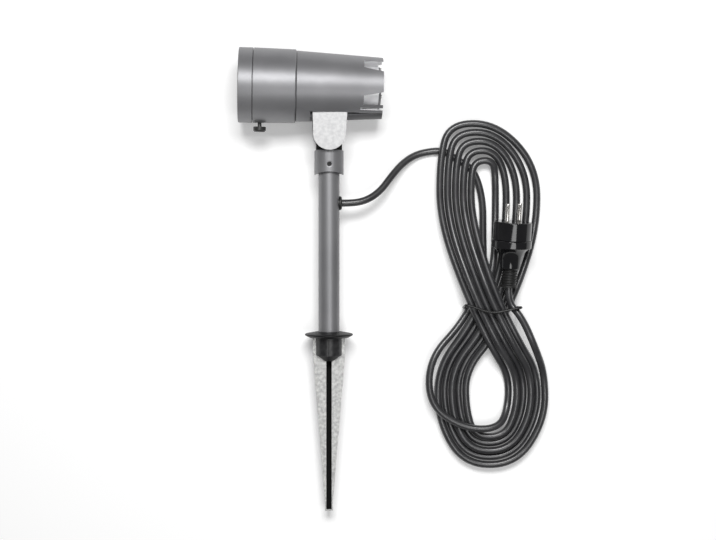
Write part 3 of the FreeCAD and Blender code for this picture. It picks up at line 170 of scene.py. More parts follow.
# %% [markdown]
# Two more groups measure where a point lies: beyond a plane, and away from a line. They put painted light
# and painted shade in place on the castings, with no picture to paint or unwrap.

# %% Groups that measure
def make_beyond_group():
    tree, given, result = new_group(
        "beyond_plane",
        [("Point", "NodeSocketVector", (0, 0, 0)), ("Way", "NodeSocketVector", (0, 0, 1)),
         ("Edge", "NodeSocketFloat", 0.0), ("Blur", "NodeSocketFloat", 0.0005)],
        ["Share"])
    place = tree.nodes.new("ShaderNodeTexCoord")
    apart = vector_node(tree, "SUBTRACT", place.outputs["Object"], given.outputs["Point"])
    depth = vector_node(tree, "DOT_PRODUCT", apart, given.outputs["Way"])
    past = math_node(tree, "SUBTRACT", depth, given.outputs["Edge"])
    share = math_node(tree, "DIVIDE", past, given.outputs["Blur"])
    clamp = tree.nodes.new("ShaderNodeClamp")
    tree.links.new(share, clamp.inputs["Value"])
    tree.links.new(clamp.outputs[0], result.inputs["Share"])
    return tree


def make_off_line_group():
    tree, given, result = new_group(
        "off_line",
        [("Point", "NodeSocketVector", (0, 0, 0)), ("Way", "NodeSocketVector", (1, 0, 0))],
        ["Along", "Out"])
    place = tree.nodes.new("ShaderNodeTexCoord")
    apart = vector_node(tree, "SUBTRACT", place.outputs["Object"], given.outputs["Point"])
    across = vector_node(tree, "CROSS_PRODUCT", apart, given.outputs["Way"])
    tree.links.new(vector_node(tree, "DOT_PRODUCT", apart, given.outputs["Way"]), result.inputs["Along"])
    tree.links.new(vector_node(tree, "LENGTH", across), result.inputs["Out"])
    return tree


beyond_group = make_beyond_group()
off_line_group = make_off_line_group()
print("groups", beyond_group.name, off_line_group.name)

# %% [markdown]
# ## Finishes
# Each finish is one Principled shader. Its colour drifts with the cloud, its gloss with the grain,
# and a shallow bump follows the grain. A powder coat wants a fine bump, a moulded plug almost none.

# %% Finish builder
CLOUD_SPREAD = (0.35, 0.65)
GRAIN_SPREAD = (0.3, 0.7)
BUMP_STRENGTH = 0.5


def finish(name, dark, light, metallic, rough, cloud_size, grain_size, bump_mm, specular=0.5):
    material = bpy.data.materials.new(name)
    material.use_nodes = True
    tree = material.node_tree
    shader = tree.nodes["Principled BSDF"]
    shader.inputs["Metallic"].default_value = metallic
    shader.inputs["Specular IOR Level"].default_value = specular
    grain = place_group(tree, grain_group, Cloud_size=cloud_size, Grain_size=grain_size)
    cloud = map_range(tree, grain.outputs["Cloud"], CLOUD_SPREAD, (0, 1))
    colour = mix_colours(tree, cloud, dark, light)
    tree.links.new(colour, shader.inputs["Base Color"])
    tree.links.new(map_range(tree, grain.outputs["Grain"], GRAIN_SPREAD, rough), shader.inputs["Roughness"])
    relief = tree.nodes.new("ShaderNodeBump")
    relief.inputs["Distance"].default_value = bump_mm * MM
    relief.inputs["Strength"].default_value = BUMP_STRENGTH
    tree.links.new(grain.outputs["Grain"], relief.inputs["Height"])
    tree.links.new(relief.outputs["Normal"], shader.inputs["Normal"])
    return material, shader, colour


def shade_beyond(material, shader, colour, masks, shade, dull=0.0):
    """Second colour where every mask is one, and roughness raised there by dull."""
    tree = material.node_tree
    factor = masks[0]
    for mask in masks[1:]:
        factor = math_node(tree, "MULTIPLY", factor, mask)
    colour = mix_colours(tree, factor, colour, shade)
    tree.links.new(colour, shader.inputs["Base Color"])
    if dull:
        gloss = shader.inputs["Roughness"].links[0].from_socket
        tree.links.new(math_node(tree, "MULTIPLY_ADD", factor, dull, gloss), shader.inputs["Roughness"])
    return colour


def beyond(material, point, way, edge, blur):
    """Mask that grows to one past a plane: its point, its direction, and where it begins."""
    node = place_group(material.node_tree, beyond_group, Point=point, Way=way, Edge=edge, Blur=blur)
    return node.outputs["Share"]


print("finish builder ready, cloud", CLOUD_SPREAD, "grain", GRAIN_SPREAD)

# %% [markdown]
# The head's casting is coated in satin grey. Inside the cooling slots near white is painted as light on
# the core, which lies in shade, and the notch beside the ear gets painted deep shade. Both are found by
# measuring: the slots lie inside the tapered skin, and the notch lies below its ceiling.

# %% Grey coat of the head, collar and stem
PAINT = dict(dark=(0.2, 0.2, 0.208), light=(0.245, 0.245, 0.253), metallic=0.55, rough=(0.41, 0.48),
             cloud_size=14, grain_size=2200, bump_mm=0.03)
SKIN_AT_PIVOT = 0.034914
SKIN_TAPER = 0.05724
SKIN_DEPTH = 0.0009
SLOTS_BEGIN = 0.0300
SLOTS_BLUR = 0.0004
NOTCH_CEILING = 0.0269
NOTCH_BEGIN = -0.0206
NOTCH_SIDE = -0.0162
SHARP = 0.0003
SLOT_PAINTED_LIGHT = (0.93, 0.93, 0.94)
DEEP_SHADE = (0.045, 0.045, 0.048)
grey_paint, _, _ = finish("grey_paint", **PAINT)
housing_paint, shader, colour = finish("housing_paint", **PAINT)
tree = housing_paint.node_tree
axis = place_group(tree, off_line_group, Point=HEAD_POINT, Way=HEAD_REAR)
skin = math_node(tree, "MULTIPLY_ADD", axis.outputs["Along"], -SKIN_TAPER, SKIN_AT_PIVOT)
depth = math_node(tree, "SUBTRACT", skin, axis.outputs["Out"])
under_skin = math_node(tree, "GREATER_THAN", depth, SKIN_DEPTH)
rear_part = beyond(housing_paint, HEAD_POINT, HEAD_REAR, SLOTS_BEGIN, SLOTS_BLUR)
# Painted light: near white inside the cooling slots, on a core that lies in shade.
colour = shade_beyond(housing_paint, shader, colour, [under_skin, rear_part], SLOT_PAINTED_LIGHT)
# Painted deep shade in the notch beside the ear.
notch = [
    beyond(housing_paint, HEAD_POINT, HEAD_DOWN, NOTCH_CEILING, SHARP),
    beyond(housing_paint, HEAD_POINT, HEAD_REAR, NOTCH_BEGIN, SHARP),
    beyond(housing_paint, HEAD_POINT, -LAMP_FACE, NOTCH_SIDE, SHARP)]
shade_beyond(housing_paint, shader, colour, notch, DEEP_SHADE)
print("coat", PAINT["dark"], "to", PAINT["light"])

# %% [markdown]
# The tongue of the knuckle stands in the dark gap between the ears, so painted shade makes it black
# above the collar. The ears are blasted aluminium. The spike is zinc-plated sheet, mottled like frost,
# and painted shade darkens its pressed channel, measured down from the blade's face.

# %% Knuckle, ears and spike
TONGUE_BEGINS = 0.0002
TONGUE_PAINTED_SHADE = (0.006, 0.006, 0.006)
CHANNEL_BEGINS = 0.0006
CHANNEL_FADE = 0.003
CHANNEL_PAINTED_SHADE = (0.003, 0.003, 0.003)
knuckle_paint, shader, colour = finish("knuckle_paint", **PAINT)
tongue = beyond(knuckle_paint, COLLAR_TOP, STEM_UP, TONGUE_BEGINS, SHARP)
# Painted shade: the tongue turns black above the collar, where the ears shade it.
shade_beyond(knuckle_paint, shader, colour, [tongue], TONGUE_PAINTED_SHADE, dull=0.3)
ear_metal, _, _ = finish(
    "ear_metal", (0.43, 0.43, 0.435), (0.52, 0.52, 0.52), 0.4, (0.45, 0.56), 320, 1500, 0.12)
zinc, shader, colour = finish(
    "zinc", (0.3, 0.3, 0.297), (0.5, 0.5, 0.49), 0.5, (0.36, 0.5), 330, 900, 0.12)
channel = beyond(zinc, STEM_POINT, -LAMP_FACE, CHANNEL_BEGINS, CHANNEL_FADE)
# Painted shade: the channel darkens with depth below the blade's face.
shade_beyond(zinc, shader, colour, [channel], CHANNEL_PAINTED_SHADE, dull=0.45)
finishes = dict(
    grey_paint=grey_paint, housing_paint=housing_paint, knuckle_paint=knuckle_paint, ear_metal=ear_metal,
    zinc=zinc)
print("made", list(finishes))

# %% [markdown]
# The rest differ only in their numbers, so they stand in a table: dark and light colour, metallic,
# least and greatest roughness, sizes of cloud and grain, bump in millimetres, and specular level.

# %% Plain finishes
PLAIN = {
    "flange_plastic": ((0.003, 0.003, 0.003), (0.006, 0.006, 0.007), 0, (0.4, 0.5), 60, 1800, 0.04, 0.25),
    "socket_plastic": ((0.012, 0.012, 0.013), (0.03, 0.03, 0.031), 0, (0.32, 0.45), 260, 1600, 0.05, 0.4),
    "cord_rubber": ((0.022, 0.022, 0.024), (0.036, 0.036, 0.038), 0, (0.27, 0.36), 60, 2200, 0.03, 0.7),
    "black_rubber": ((0.008, 0.008, 0.008), (0.014, 0.014, 0.014), 0, (0.4, 0.55), 60, 1800, 0.04, 0.4),
    "tie_plastic": ((0.006, 0.006, 0.006), (0.012, 0.012, 0.012), 0, (0.35, 0.45), 60, 1800, 0.02, 0.4),
    "plug_gloss": ((0.004, 0.004, 0.005), (0.007, 0.007, 0.008), 0, (0.07, 0.12), 60, 1500, 0.01, 0.5),
    "nickel": ((0.74, 0.72, 0.69), (0.82, 0.8, 0.77), 1, (0.1, 0.2), 60, 1500, 0.01, 0.5),
    "clip_metal": ((0.6, 0.6, 0.58), (0.72, 0.72, 0.69), 1, (0.2, 0.3), 60, 1500, 0.02, 0.5),
    "screw_steel": ((0.42, 0.42, 0.42), (0.56, 0.56, 0.55), 1, (0.25, 0.38), 90, 1500, 0.02, 0.5),
    "grub_black": ((0.006, 0.006, 0.006), (0.012, 0.012, 0.012), 0.3, (0.4, 0.5), 60, 1500, 0.02, 0.4),
    "thumb_paint": ((0.03, 0.03, 0.03), (0.06, 0.06, 0.06), 0.4, (0.25, 0.4), 90, 1500, 0.03, 0.5),
    "nylon": ((0.62, 0.61, 0.57), (0.7, 0.69, 0.65), 0, (0.4, 0.5), 60, 1500, 0.03, 0.5),
    "ceramic": ((0.72, 0.71, 0.67), (0.8, 0.79, 0.75), 0, (0.2, 0.3), 60, 1500, 0.02, 0.5),
    "brass": ((0.55, 0.42, 0.2), (0.68, 0.54, 0.28), 1, (0.25, 0.38), 60, 1500, 0.02, 0.5),
    "wire_jacket": ((0.16, 0.07, 0.03), (0.2, 0.09, 0.04), 0, (0.4, 0.5), 60, 1500, 0.02, 0.5),
    "lamp_silver": ((0.7, 0.7, 0.71), (0.8, 0.8, 0.81), 0.9, (0.12, 0.2), 60, 1500, 0.01, 0.5)}
finishes.update({name: finish(name, *values)[0] for name, values in PLAIN.items()})
print(len(finishes), "finishes")

# %% [markdown]
# Glass needs no noise. It lets light through, bends it, and keeps a plain clear colour.

# %% Glass
glass = bpy.data.materials.new("front_glass")
glass.use_nodes = True
shader = glass.node_tree.nodes["Principled BSDF"]
shader.inputs["Base Color"].default_value = (0.96, 0.98, 0.98, 1)
shader.inputs["Transmission Weight"].default_value = 1
shader.inputs["Roughness"].default_value = 0.02
shader.inputs["IOR"].default_value = 1.5
finishes["front_glass"] = glass
print("glass", glass.name)

# %% [markdown]
# ## Dress the CAD pieces
# Where the CAD shape is right, the piece stays and takes its finish. Inner pieces are dressed too,
# because the lamp can be opened and looked into through its glass.

# %% Finishes by piece
FINISH_OF = {
    "housing": "housing_paint", "front_sleeve": "grey_paint", "front_ring": "grey_paint",
    "knuckle": "knuckle_paint", "stem": "grey_paint", "rear_cover": "grey_paint",
    "ear_front": "ear_metal", "ear_rear": "ear_metal", "ground_flange": "flange_plastic",
    "ground_socket": "socket_plastic", "ground_spike": "zinc", "front_glass": "front_glass",
    "reflector_lamp": "lamp_silver", "lamp_cap": "brass", "lamp_holder": "ceramic",
    "terminal_block": "nylon", "holder_wires": "wire_jacket", "head_lead": "cord_rubber",
    "knuckle_lead": "cord_rubber", "stem_lead": "cord_rubber", "cable_grommet": "black_rubber",
    "head_gland": "black_rubber", "sleeve_seal": "black_rubber", "glass_gasket": "black_rubber",
    "glass_retainer": "screw_steel", "plug_earth_clips": "clip_metal", "thumb_screw": "thumb_paint",
    "rear_cover_screws": "screw_steel", "ear_screws": "screw_steel", "holder_screws": "screw_steel",
    "pivot_bolt": "screw_steel", "grub_screw": "grub_black", "pivot_bush": "nylon",
    "swivel_bush": "nylon", "friction_washers": "nylon"}
for node, finish_name in FINISH_OF.items():
    mesh = bpy.data.objects[node].data
    mesh.materials.clear()
    mesh.materials.append(finishes[finish_name])
print(len(FINISH_OF), "pieces dressed")

# %% [markdown]
# ## Soft edges
# Some pieces get a copy with better looks. Such a copy has to ride on the same moving body as the
# CAD piece, replace it, and keep its material slot. Its body is read from the part's record.

# %% A piece that stands for a CAD node
body_of = {node: body for body, nodes in frame["record"]["behaviour"]["bodies"].items() for node in nodes}


def settle(piece, node, name=None):
    """Ride and replace for a piece that stands for a CAD node."""
    piece.name = name or node + "_soft"
    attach(piece, body_of[node])
    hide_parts(node)
    return piece


# %% [markdown]
# Turned and cast edges catch a thin line of light, and a CAD edge is too sharp for that. A bevel on
# the whole mesh would also cut the facets of the round walls, so only edges that turn sharply get
# one. Weighted normals then keep flat faces flat beside their rounded edges.

# %% Rounded edges
SHARP_TURN = 32


def select_only(piece):
    bpy.ops.object.select_all(action="DESELECT")
    piece.select_set(True)
    bpy.context.view_layer.objects.active = piece


def round_edges(piece, width, segments, smooth_angle):
    """Bevel of some millimetres on edges that turn sharply, and smooth shading up to an angle."""
    select_only(piece)
    bevel = piece.modifiers.new("edge", "BEVEL")
    bevel.width = width * MM
    bevel.segments = segments
    bevel.limit_method = "ANGLE"
    bevel.angle_limit = math.radians(SHARP_TURN)
    bpy.ops.object.modifier_apply(modifier="edge")
    bpy.ops.object.shade_smooth_by_angle(angle=math.radians(smooth_angle))
    weighted = piece.modifiers.new("shading", "WEIGHTED_NORMAL")
    weighted.keep_sharp = True
    bpy.ops.object.modifier_apply(modifier="shading")


print("edges that turn more than", SHARP_TURN, "degrees are rounded")

# %% [markdown]
# The pieces that show most are copied. A CAD mesh comes as loose triangles, so their corners are
# welded first, because a bevel needs faces that share an edge.

# %% Bevelled copies
SOFT_EDGES = {
    "housing": 0.35, "front_sleeve": 0.3, "front_ring": 0.45, "knuckle": 0.3, "ear_front": 0.6,
    "ear_rear": 0.5, "ground_flange": 0.2, "ground_socket": 0.3, "thumb_screw": 0.25,
    "cable_grommet": 0.3, "ground_spike": 0.2, "rear_cover": 0.3}
WELD = 0.000005


def soften(node, width):
    piece = bpy.data.objects.new(node + "_soft", bpy.data.objects[node].data.copy())
    bpy.context.scene.collection.objects.link(piece)
    select_only(piece)
    bpy.ops.object.mode_set(mode="EDIT")
    bpy.ops.mesh.select_all(action="SELECT")
    bpy.ops.mesh.remove_doubles(threshold=WELD)
    bpy.ops.object.mode_set(mode="OBJECT")
    round_edges(piece, width, segments=2, smooth_angle=28)
    return settle(piece, node)


for node, width in SOFT_EDGES.items():
    piece = soften(node, width)
    print(piece.name, len(piece.data.polygons), "faces")

# %% [markdown]
# ## Cord
# The cord is one smooth line, from the grommet to the plug: down to the floor, then six figures of
# eight laid inside each other, crossing at a waist. Few control points with a quadratic NURBS spline
# give the loose curves of rubber. Places are measured on the floor from the stem's lower end.

# %% Ends of the cord and the lead
STEM_FOOT = Vector((0.019231, -0.059769, 0))
CORD_R = 0.0038
FLOOR_Z = 0.00385
GROMMET_EXIT = Vector((0.032836, 0.080952, 0.031383))
EXIT_WAY = Vector((0.998867, 0.000852, -0.047583))
HANK_START = STEM_FOOT + Vector((0.1135, 0.1975, FLOOR_Z))
START_HEADING = 6
PLUG_END = STEM_FOOT + Vector((0.1885, 0.053, 0.0272))
PLUG_LEAN = 87
PLUG_TILT = 8


def heading(degrees, climb=0.0):
    flat = math.cos(math.radians(climb))
    turned = math.radians(degrees)
    return Vector((flat * math.cos(turned), flat * math.sin(turned), math.sin(math.radians(climb))))


PLUG_WAY = heading(PLUG_LEAN, PLUG_TILT)
lead_points = [
    GROMMET_EXIT,
    GROMMET_EXIT + EXIT_WAY * 0.014,
    STEM_FOOT + Vector((0.0419, 0.1450, 0.0280)),
    STEM_FOOT + Vector((0.0546, 0.1545, 0.0232)),
    STEM_FOOT + Vector((0.0652, 0.1691, 0.0172)),
    STEM_FOOT + Vector((0.0761, 0.1823, 0.0108)),
    STEM_FOOT + Vector((0.0881, 0.1915, 0.0063)),
    HANK_START - heading(START_HEADING) * 0.0125]
print("lead", len(lead_points), "control points")

# %% [markdown]
# The hank is set by a few numbers: where its waist is and how the two bundles lean there, how far
# apart the strands lie, and where the loops reach. The tops of the upper loops don't lie at an even
# step, so they are listed one by one.

# %% Shape of the hank
CIRCUITS = 6
WAIST = (0.170, 0.032)
WAIST_LEAN = 26
WAIST_STEP = 0.00705
WAIST_LIFT = 0.0064
BACK_Z = 0.0068
FRONT_Z = BACK_Z + WAIST_LIFT + 2 * CORD_R + 0.0015
FRONT_DROP = 0.022
LOOP_STEP = 0.00745
LOOP_LIFT = 0.0058
LOOP_Y = -0.060
LOOP_LEFT_X = 0.115
LOOP_RIGHT_X = 0.199
LOOP_MIDDLE_X = 0.170
LOOP_BOTTOM_Y = -0.106
UPPER_LEFT_X = 0.117
UPPER_LEFT_STEP = 0.0083
UPPER_LEFT_Y = 0.166
UPPER_Z = 0.013
TOP_Z = UPPER_Z - 0.0007
CROSSING_Z = 0.0178
TOPS = [(0.147, 0.226), (0.151, 0.2166), (0.1555, 0.2071), (0.1598, 0.1971), (0.1636, 0.1866)]
UPPER_RIGHT = [
    (0.1635, 0.130), (0.1768, 0.158), (0.1883, 0.1555), (0.1993, 0.153), (0.2102, 0.151), (0.221, 0.150)]
FIRST_TURN = (0.140, 0.186, FLOOR_Z, -30)
FIRST_LOOP = [
    (0.1055, -0.050, CROSSING_Z, -90), (0.165, -0.097, CROSSING_Z, 0), (0.1905, LOOP_Y, FLOOR_Z, 90)]
TAIL_TURN = (0.207, 0.010, 0.0305, 114)
print(CIRCUITS, "circuits with strands", WAIST_STEP, "apart at the waist")

# %% [markdown]
# Each circuit is a short list of stations, each with its heading. At the waist and in the lower loops
# the strands lie closer than their own thickness, so every second circuit runs a little higher there.
# The front bundle crosses over the back one.

# %% Stations of a circuit
def waist_place(offset, lean, drop):
    """A strand's place in one of the two bundles that cross at the waist."""
    turned = math.radians(lean)
    return (WAIST[0] + drop * math.sin(turned) + offset * math.cos(turned),
            WAIST[1] - drop * math.cos(turned) + offset * math.sin(turned))


def circuit_stations(circuit):
    """Places and headings of one figure eight, in the order that the cord runs."""
    lift = circuit % 2
    place = 0 if circuit == 0 else CIRCUITS - circuit
    middle = (CIRCUITS - 1) / 2
    stations = []
    if circuit == 0:
        stations.append(FIRST_TURN)
    else:
        stations.append((UPPER_LEFT_X + UPPER_LEFT_STEP * (circuit - 1), UPPER_LEFT_Y, UPPER_Z, 90))
        stations.append(TOPS[circuit - 1] + (TOP_Z, 0))
    stations.append(UPPER_RIGHT[place] + (FLOOR_Z, -90))
    back = waist_place((place - middle) * WAIST_STEP, -WAIST_LEAN, 0)
    stations.append(back + (BACK_Z + WAIST_LIFT * lift, -90 - WAIST_LEAN))
    if circuit == 0:
        stations += FIRST_LOOP
    else:
        low = FLOOR_Z + LOOP_LIFT * lift
        stations.append((LOOP_LEFT_X + LOOP_STEP * (place - 1), LOOP_Y, low, -90))
        stations.append((LOOP_MIDDLE_X, LOOP_BOTTOM_Y - LOOP_STEP * (circuit - 1), low, 0))
        stations.append((LOOP_RIGHT_X + LOOP_STEP * (circuit - 1), LOOP_Y, low, 90))
    if circuit < CIRCUITS - 1:
        front = waist_place((circuit - middle) * WAIST_STEP, WAIST_LEAN, FRONT_DROP)
        stations.append(front + (FRONT_Z + WAIST_LIFT * lift, 90 + WAIST_LEAN))
    else:
        stations.append(TAIL_TURN)
    return stations


print("stations", sum(len(circuit_stations(circuit)) for circuit in range(CIRCUITS)))

# %% [markdown]
# Between two stations go two control points, one on each heading's line, so that the spline arrives
# in the right direction. Both stand at the same reach, worked out as for two arcs that meet
# smoothly.

# %% Route of the hank
PLUG_ENTRY = 0.004


def guide_points(start, way, end, way_end):
    """The two control points that carry the line from one heading to the next."""
    chord = end - start
    both = way + way_end
    spread = 2 * (1 - way.dot(way_end))
    forward = chord.dot(both)
    if spread < 1e-9:
        reach = chord.dot(chord) / (4 * chord.dot(way_end))
    else:
        reach = (math.sqrt(forward ** 2 + spread * chord.dot(chord)) - forward) / spread
    return [start + way * reach, end - way_end * reach]


def cord_route():
    """Control points of the whole cord, from the grommet to the plug."""
    stations = [(HANK_START, heading(START_HEADING))]
    for circuit in range(CIRCUITS):
        for x, y, z, degrees in circuit_stations(circuit):
            stations.append((STEM_FOOT + Vector((x, y, z)), heading(degrees)))
    stations.append((PLUG_END - PLUG_WAY * PLUG_ENTRY, PLUG_WAY))
    points = list(lead_points)
    for (start, way), (end, way_end) in zip(stations, stations[1:]):
        points += guide_points(start, way, end, way_end)
    return points + [PLUG_END]


cord_points = cord_route()
print("cord control points", len(cord_points))

# %% [markdown]
# A curve with a round bevel is the lightest way to make a cord: one spline, and a thickness that
# follows it. Its order is set after its points, because a spline of few points would lower it.

# %% Cord
def spline_curve(name, points, radius, closed=False):
    """Smooth round line through the neighbourhood of its control points."""
    curve = bpy.data.curves.new(name, "CURVE")
    curve.dimensions = "3D"
    curve.bevel_depth = radius
    curve.bevel_resolution = 5
    curve.resolution_u = 10
    curve.use_fill_caps = not closed
    spline = curve.splines.new("NURBS")
    spline.points.add(len(points) - 1)
    for control, place in zip(spline.points, points):
        control.co = (*place, 1)
    spline.order_u = 3
    spline.use_cyclic_u = closed
    spline.use_endpoint_u = not closed
    spline.use_smooth = True
    piece = bpy.data.objects.new(name, curve)
    bpy.context.scene.collection.objects.link(piece)
    return piece


cord = spline_curve("cord", cord_points, CORD_R)
cord.data.materials.append(finishes["cord_rubber"])
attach(cord, "stake")
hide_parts("cord_lead", "cord_hank")
print("cord radius", CORD_R)

# %% [markdown]
# ## Plug
# The plug is a moulded block with two flats, a grip ring and a waisted back that runs into a ribbed
# bend relief. Round forms grow well from a circle: each step extrudes the end face along the axis
# and scales it. The flats are bisected off the front block before the two blocks are joined.

# %% Turned pieces
RIM_POINTS = 72


def turned(name, profile):
    """Solid of revolution on local Y, from stations of radius and place in millimetres."""
    bpy.ops.object.select_all(action="DESELECT")
    radius, place = profile[0]
    bpy.ops.mesh.primitive_circle_add(
        vertices=RIM_POINTS, radius=radius * MM, fill_type="NGON", location=(0, place * MM, 0),
        rotation=(math.radians(90), 0, 0))
    bpy.ops.object.transform_apply(location=True, rotation=True, scale=True)
    piece = bpy.context.object
    piece.name = name
    bpy.ops.object.mode_set(mode="EDIT")
    bpy.ops.mesh.select_all(action="SELECT")
    for (before, old), (radius, place) in zip(profile, profile[1:]):
        bpy.ops.mesh.extrude_region_move(
            TRANSFORM_OT_translate={"value": (0, (place - old) * MM, 0)})
        bpy.ops.transform.resize(
            value=(radius / before, 1, radius / before), center_override=(0, place * MM, 0))
    bpy.ops.mesh.select_all(action="SELECT")
    bpy.ops.mesh.normals_make_consistent(inside=False)
    bpy.ops.object.mode_set(mode="OBJECT")
    return piece


def cut_flats(piece, reach):
    """Take both sides off a block where it stands out beyond reach, in millimetres."""
    select_only(piece)
    bpy.ops.object.mode_set(mode="EDIT")
    for side in (-1, 1):
        bpy.ops.mesh.select_all(action="SELECT")
        bpy.ops.mesh.bisect(
            plane_co=(side * reach * MM, 0, 0), plane_no=(side, 0, 0), use_fill=True, clear_outer=True)
    bpy.ops.object.mode_set(mode="OBJECT")


def join(pieces, name):
    bpy.ops.object.select_all(action="DESELECT")
    for piece in pieces:
        piece.select_set(True)
    bpy.context.view_layer.objects.active = pieces[0]
    bpy.ops.object.join()
    pieces[0].name = name
    return pieces[0]


print("tools for turned pieces ready")

# %% [markdown]
# The pieces are shaped along one axis, then turned on to the cord's end with one matrix, which is
# applied so that the place lies in the mesh.

# %% Body of the plug
PLUG_FRONT, PLUG_RING, PLUG_BACK, RELIEF = 19.4, 7.8, 22.8, 19.0
PLUG_LENGTH = PLUG_FRONT + PLUG_RING + PLUG_BACK + RELIEF
PLUG_ROLL = 43
RING_BACK = -PLUG_FRONT - PLUG_RING
BACK_END = RING_BACK - PLUG_BACK
BLOCK_R = 19.9
FLAT_REACH = 18.7
roll = Quaternion((0, 1, 0), math.radians(PLUG_ROLL))
plug_turn = Vector((0, 1, 0)).rotation_difference(PLUG_WAY) @ roll
plug_tip = PLUG_END + PLUG_WAY * PLUG_LENGTH * MM
plug_matrix = Matrix.Translation(plug_tip) @ plug_turn.to_matrix().to_4x4()


def lay_on_cord(piece, node, finish_name):
    select_only(piece)
    piece.matrix_world = plug_matrix
    bpy.ops.object.transform_apply(location=True, rotation=True, scale=True)
    piece.data.materials.clear()
    piece.data.materials.append(finishes[finish_name])
    return settle(piece, node)


block = turned("block", [(BLOCK_R, 0), (BLOCK_R, -PLUG_FRONT)])
cut_flats(block, FLAT_REACH)
round_edges(block, width=0.9, segments=3, smooth_angle=35)
waisted = turned("waisted", [
    (19.6, -PLUG_FRONT + 0.2), (20.9, -PLUG_FRONT), (20.9, RING_BACK), (19.2, RING_BACK),
    (16.6, RING_BACK - 2.2), (14.1, RING_BACK - 5.2), (12.4, RING_BACK - 8.6), (11.4, RING_BACK - 12.4),
    (10.9, RING_BACK - 17.0), (10.7, BACK_END + 1.2), (9.6, BACK_END)])
round_edges(waisted, width=0.8, segments=3, smooth_angle=35)
plug_body = lay_on_cord(join([block, waisted], "plug"), "plug_body", "plug_gloss")
print("plug", [round(value * 1000, 1) for value in plug_body.dimensions])

# %% [markdown]
# The bend relief keeps the cord from kinking at the plug. Its ribs are one short list of stations,
# repeated at a steady step, and its end flares.

# %% Bend relief
RIBS, RIB_STEP = 5, 2.8
CORE_R, RIB_R, FLARE_R = 7.3, 8.4, 9.1
relief_profile = [(9.3, BACK_END + 0.2)]
for rib in range(RIBS):
    top = BACK_END - rib * RIB_STEP
    relief_profile += [(CORE_R, top - 0.1), (CORE_R, top - 1.2), (RIB_R, top - 1.5), (RIB_R, top - 2.5)]
relief_profile += [
    (CORE_R, BACK_END - 14.2), (CORE_R, BACK_END - 15.6), (FLARE_R, BACK_END - 16.9),
    (FLARE_R, BACK_END - RELIEF)]
relief = turned("relief", relief_profile)
round_edges(relief, width=0.25, segments=2, smooth_angle=35)
plug_sleeve = lay_on_cord(relief, "plug_sleeve", "black_rubber")
print("bend relief", len(plug_sleeve.data.polygons), "faces")

# %% [markdown]
# The two pins are solid turned rods on thinner roots, with domed ends that find their holes.

# %% Pins
PIN_APART = 19.0
PIN_PROFILE = [(1.9, -8), (1.9, 0), (2.4, 0.05), (2.4, 17.4), (2.25, 18.3), (1.7, 18.85), (0.8, 19.0)]
pins = []
for side in (-1, 1):
    pin = turned("pin", PIN_PROFILE)
    pin.location.x = side * PIN_APART / 2 * MM
    bpy.ops.object.transform_apply(location=True, rotation=True, scale=True)
    bpy.ops.object.shade_smooth_by_angle(angle=math.radians(40))
    pins.append(pin)
plug_pins = lay_on_cord(join(pins, "pins"), "plug_pins", "nickel")
print("pins", len(plug_pins.data.polygons), "faces")

# %% [markdown]
# ## Wire tie
# A black wire holds both bundles at the waist. It is a closed line round the strands, with its top
# run pulled a little askew, because a hand that ties a knot never leaves it straight.

# %% Tie round the waist
TIE_Y = 0.031
TIE_R = 0.0014
TIE_LEFT, TIE_RIGHT = 0.1428, 0.2012
TIE_LOW, TIE_TOP = 0.00145, 0.0356
TIE_SECTION = [
    (TIE_LEFT, 0.010, 0), (TIE_LEFT, TIE_LOW, 0), (0.152, TIE_LOW, 0), (0.172, TIE_LOW, 0),
    (0.192, TIE_LOW, 0), (TIE_RIGHT, TIE_LOW, 0), (TIE_RIGHT, 0.010, 0), (TIE_RIGHT, 0.027, 0.0005),
    (TIE_RIGHT, TIE_TOP, 0.0005), (0.192, TIE_TOP, -0.001), (0.178, TIE_TOP, -0.0045),
    (0.166, TIE_TOP, -0.0045), (0.152, TIE_TOP, 0.001), (TIE_LEFT, TIE_TOP, 0.003),
    (TIE_LEFT, 0.027, 0.002)]
tie_points = [STEM_FOOT + Vector((x, TIE_Y + skew, z)) for x, z, skew in TIE_SECTION]
tie = spline_curve("tie_wire", tie_points, TIE_R, closed=True)
tie.data.materials.append(finishes["tie_plastic"])
settle(tie, "cord_tie", "tie_wire")
print("tie control points", len(tie_points))

# %% [markdown]
# The cord begins where it leaves the grommet.

# %% Facts of the cord
print("cord declared from", [round(value, 4) for value in GROMMET_EXIT])

# %% [markdown]
# ## Floor
# The lamp lies on a wide white floor. The floor keeps its own soft shadow and is lifted a little for
# the rays of the camera, of gloss and of glass, so that what they show stays white.

# %% White floor
FLOOR_WIDE = 6
FLOOR_WHITE = (0.86, 0.86, 0.86, 1)


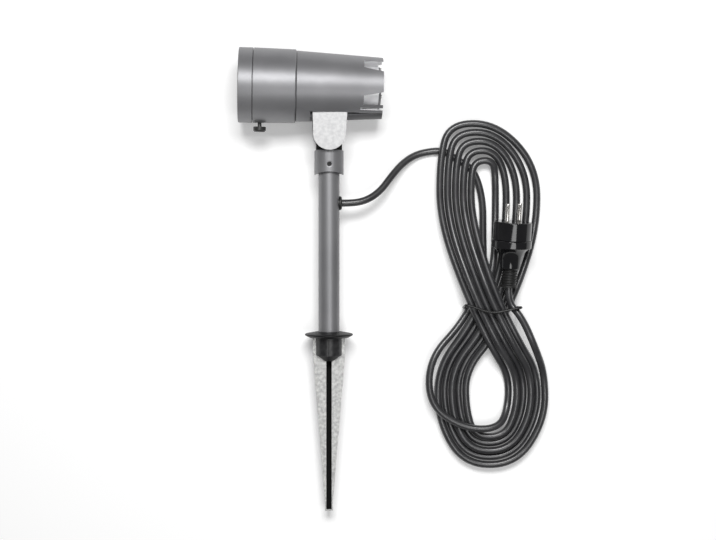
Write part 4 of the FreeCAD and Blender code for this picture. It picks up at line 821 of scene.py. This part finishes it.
def make_floor(lift):
    bpy.ops.object.select_all(action="DESELECT")
    bpy.ops.mesh.primitive_plane_add(size=FLOOR_WIDE, location=(0, 0, 0))
    floor = bpy.context.object
    floor.name = "floor"
    material = bpy.data.materials.new("floor")
    material.use_nodes = True
    tree = material.node_tree
    shader = tree.nodes["Principled BSDF"]
    shader.inputs["Base Color"].default_value = FLOOR_WHITE
    shader.inputs["Roughness"].default_value = 0.9
    shader.inputs["Specular IOR Level"].default_value = 0.1
    shader.inputs["Emission Color"].default_value = (1, 1, 1, 1)
    rays = tree.nodes.new("ShaderNodeLightPath")
    seen = math_node(tree, "MAXIMUM", rays.outputs["Is Camera Ray"], rays.outputs["Is Transmission Ray"])
    seen = math_node(tree, "MAXIMUM", seen, rays.outputs["Is Glossy Ray"])
    tree.links.new(math_node(tree, "MULTIPLY", seen, lift), shader.inputs["Emission Strength"])
    floor.data.materials.append(material)


make_floor(lift=0.2)
print("floor", FLOOR_WIDE, "m wide")

# %% [markdown]
# ## Light and camera
# One large soft box stands beyond the head's end, so the round head shows its bright band a little
# above the middle and its sides fall dark. A small second one gives the glossy plug its highlight,
# and a weak white world opens the shadows.

# %% Lights
def area_light(name, place, target, size, power):
    light = bpy.data.lights.new(name, "AREA")
    light.shape = "RECTANGLE"
    light.size, light.size_y = size
    light.energy = power
    lamp = bpy.data.objects.new(name, light)
    bpy.context.scene.collection.objects.link(lamp)
    lamp.location = place
    lamp.rotation_euler = (Vector(target) - Vector(place)).to_track_quat("-Z", "Y").to_euler()


def make_world(strength):
    world = bpy.data.worlds.new("studio")
    world.use_nodes = True
    background = world.node_tree.nodes["Background"]
    background.inputs["Color"].default_value = (1, 1, 1, 1)
    background.inputs["Strength"].default_value = strength
    bpy.context.scene.world = world


area_light("key", place=(0.05, 0.72, 1.55), target=(0.05, 0, 0), size=(0.8, 0.5), power=23)
area_light("fill", place=(0.3, -0.34, 1.2), target=(0.15, 0, 0), size=(0.6, 0.35), power=3.5)
make_world(strength=0.2)
print("lights", list(bpy.data.lights.keys()))

# %% [markdown]
# The camera looks straight down from far away with a long lens, as in the photograph. The Standard
# view keeps the white of the floor white.

# %% Camera
def make_camera(place, lens):
    data = bpy.data.cameras.new("camera")
    data.sensor_width = 36
    data.lens = lens
    camera = bpy.data.objects.new("camera", data)
    camera.location = place
    bpy.context.scene.collection.objects.link(camera)
    bpy.context.scene.camera = camera


make_camera(place=(0.0497, 0.0110, 1.540), lens=72.5)
bpy.context.scene.view_settings.view_transform = "Standard"
print("lens", bpy.context.scene.camera.data.lens)
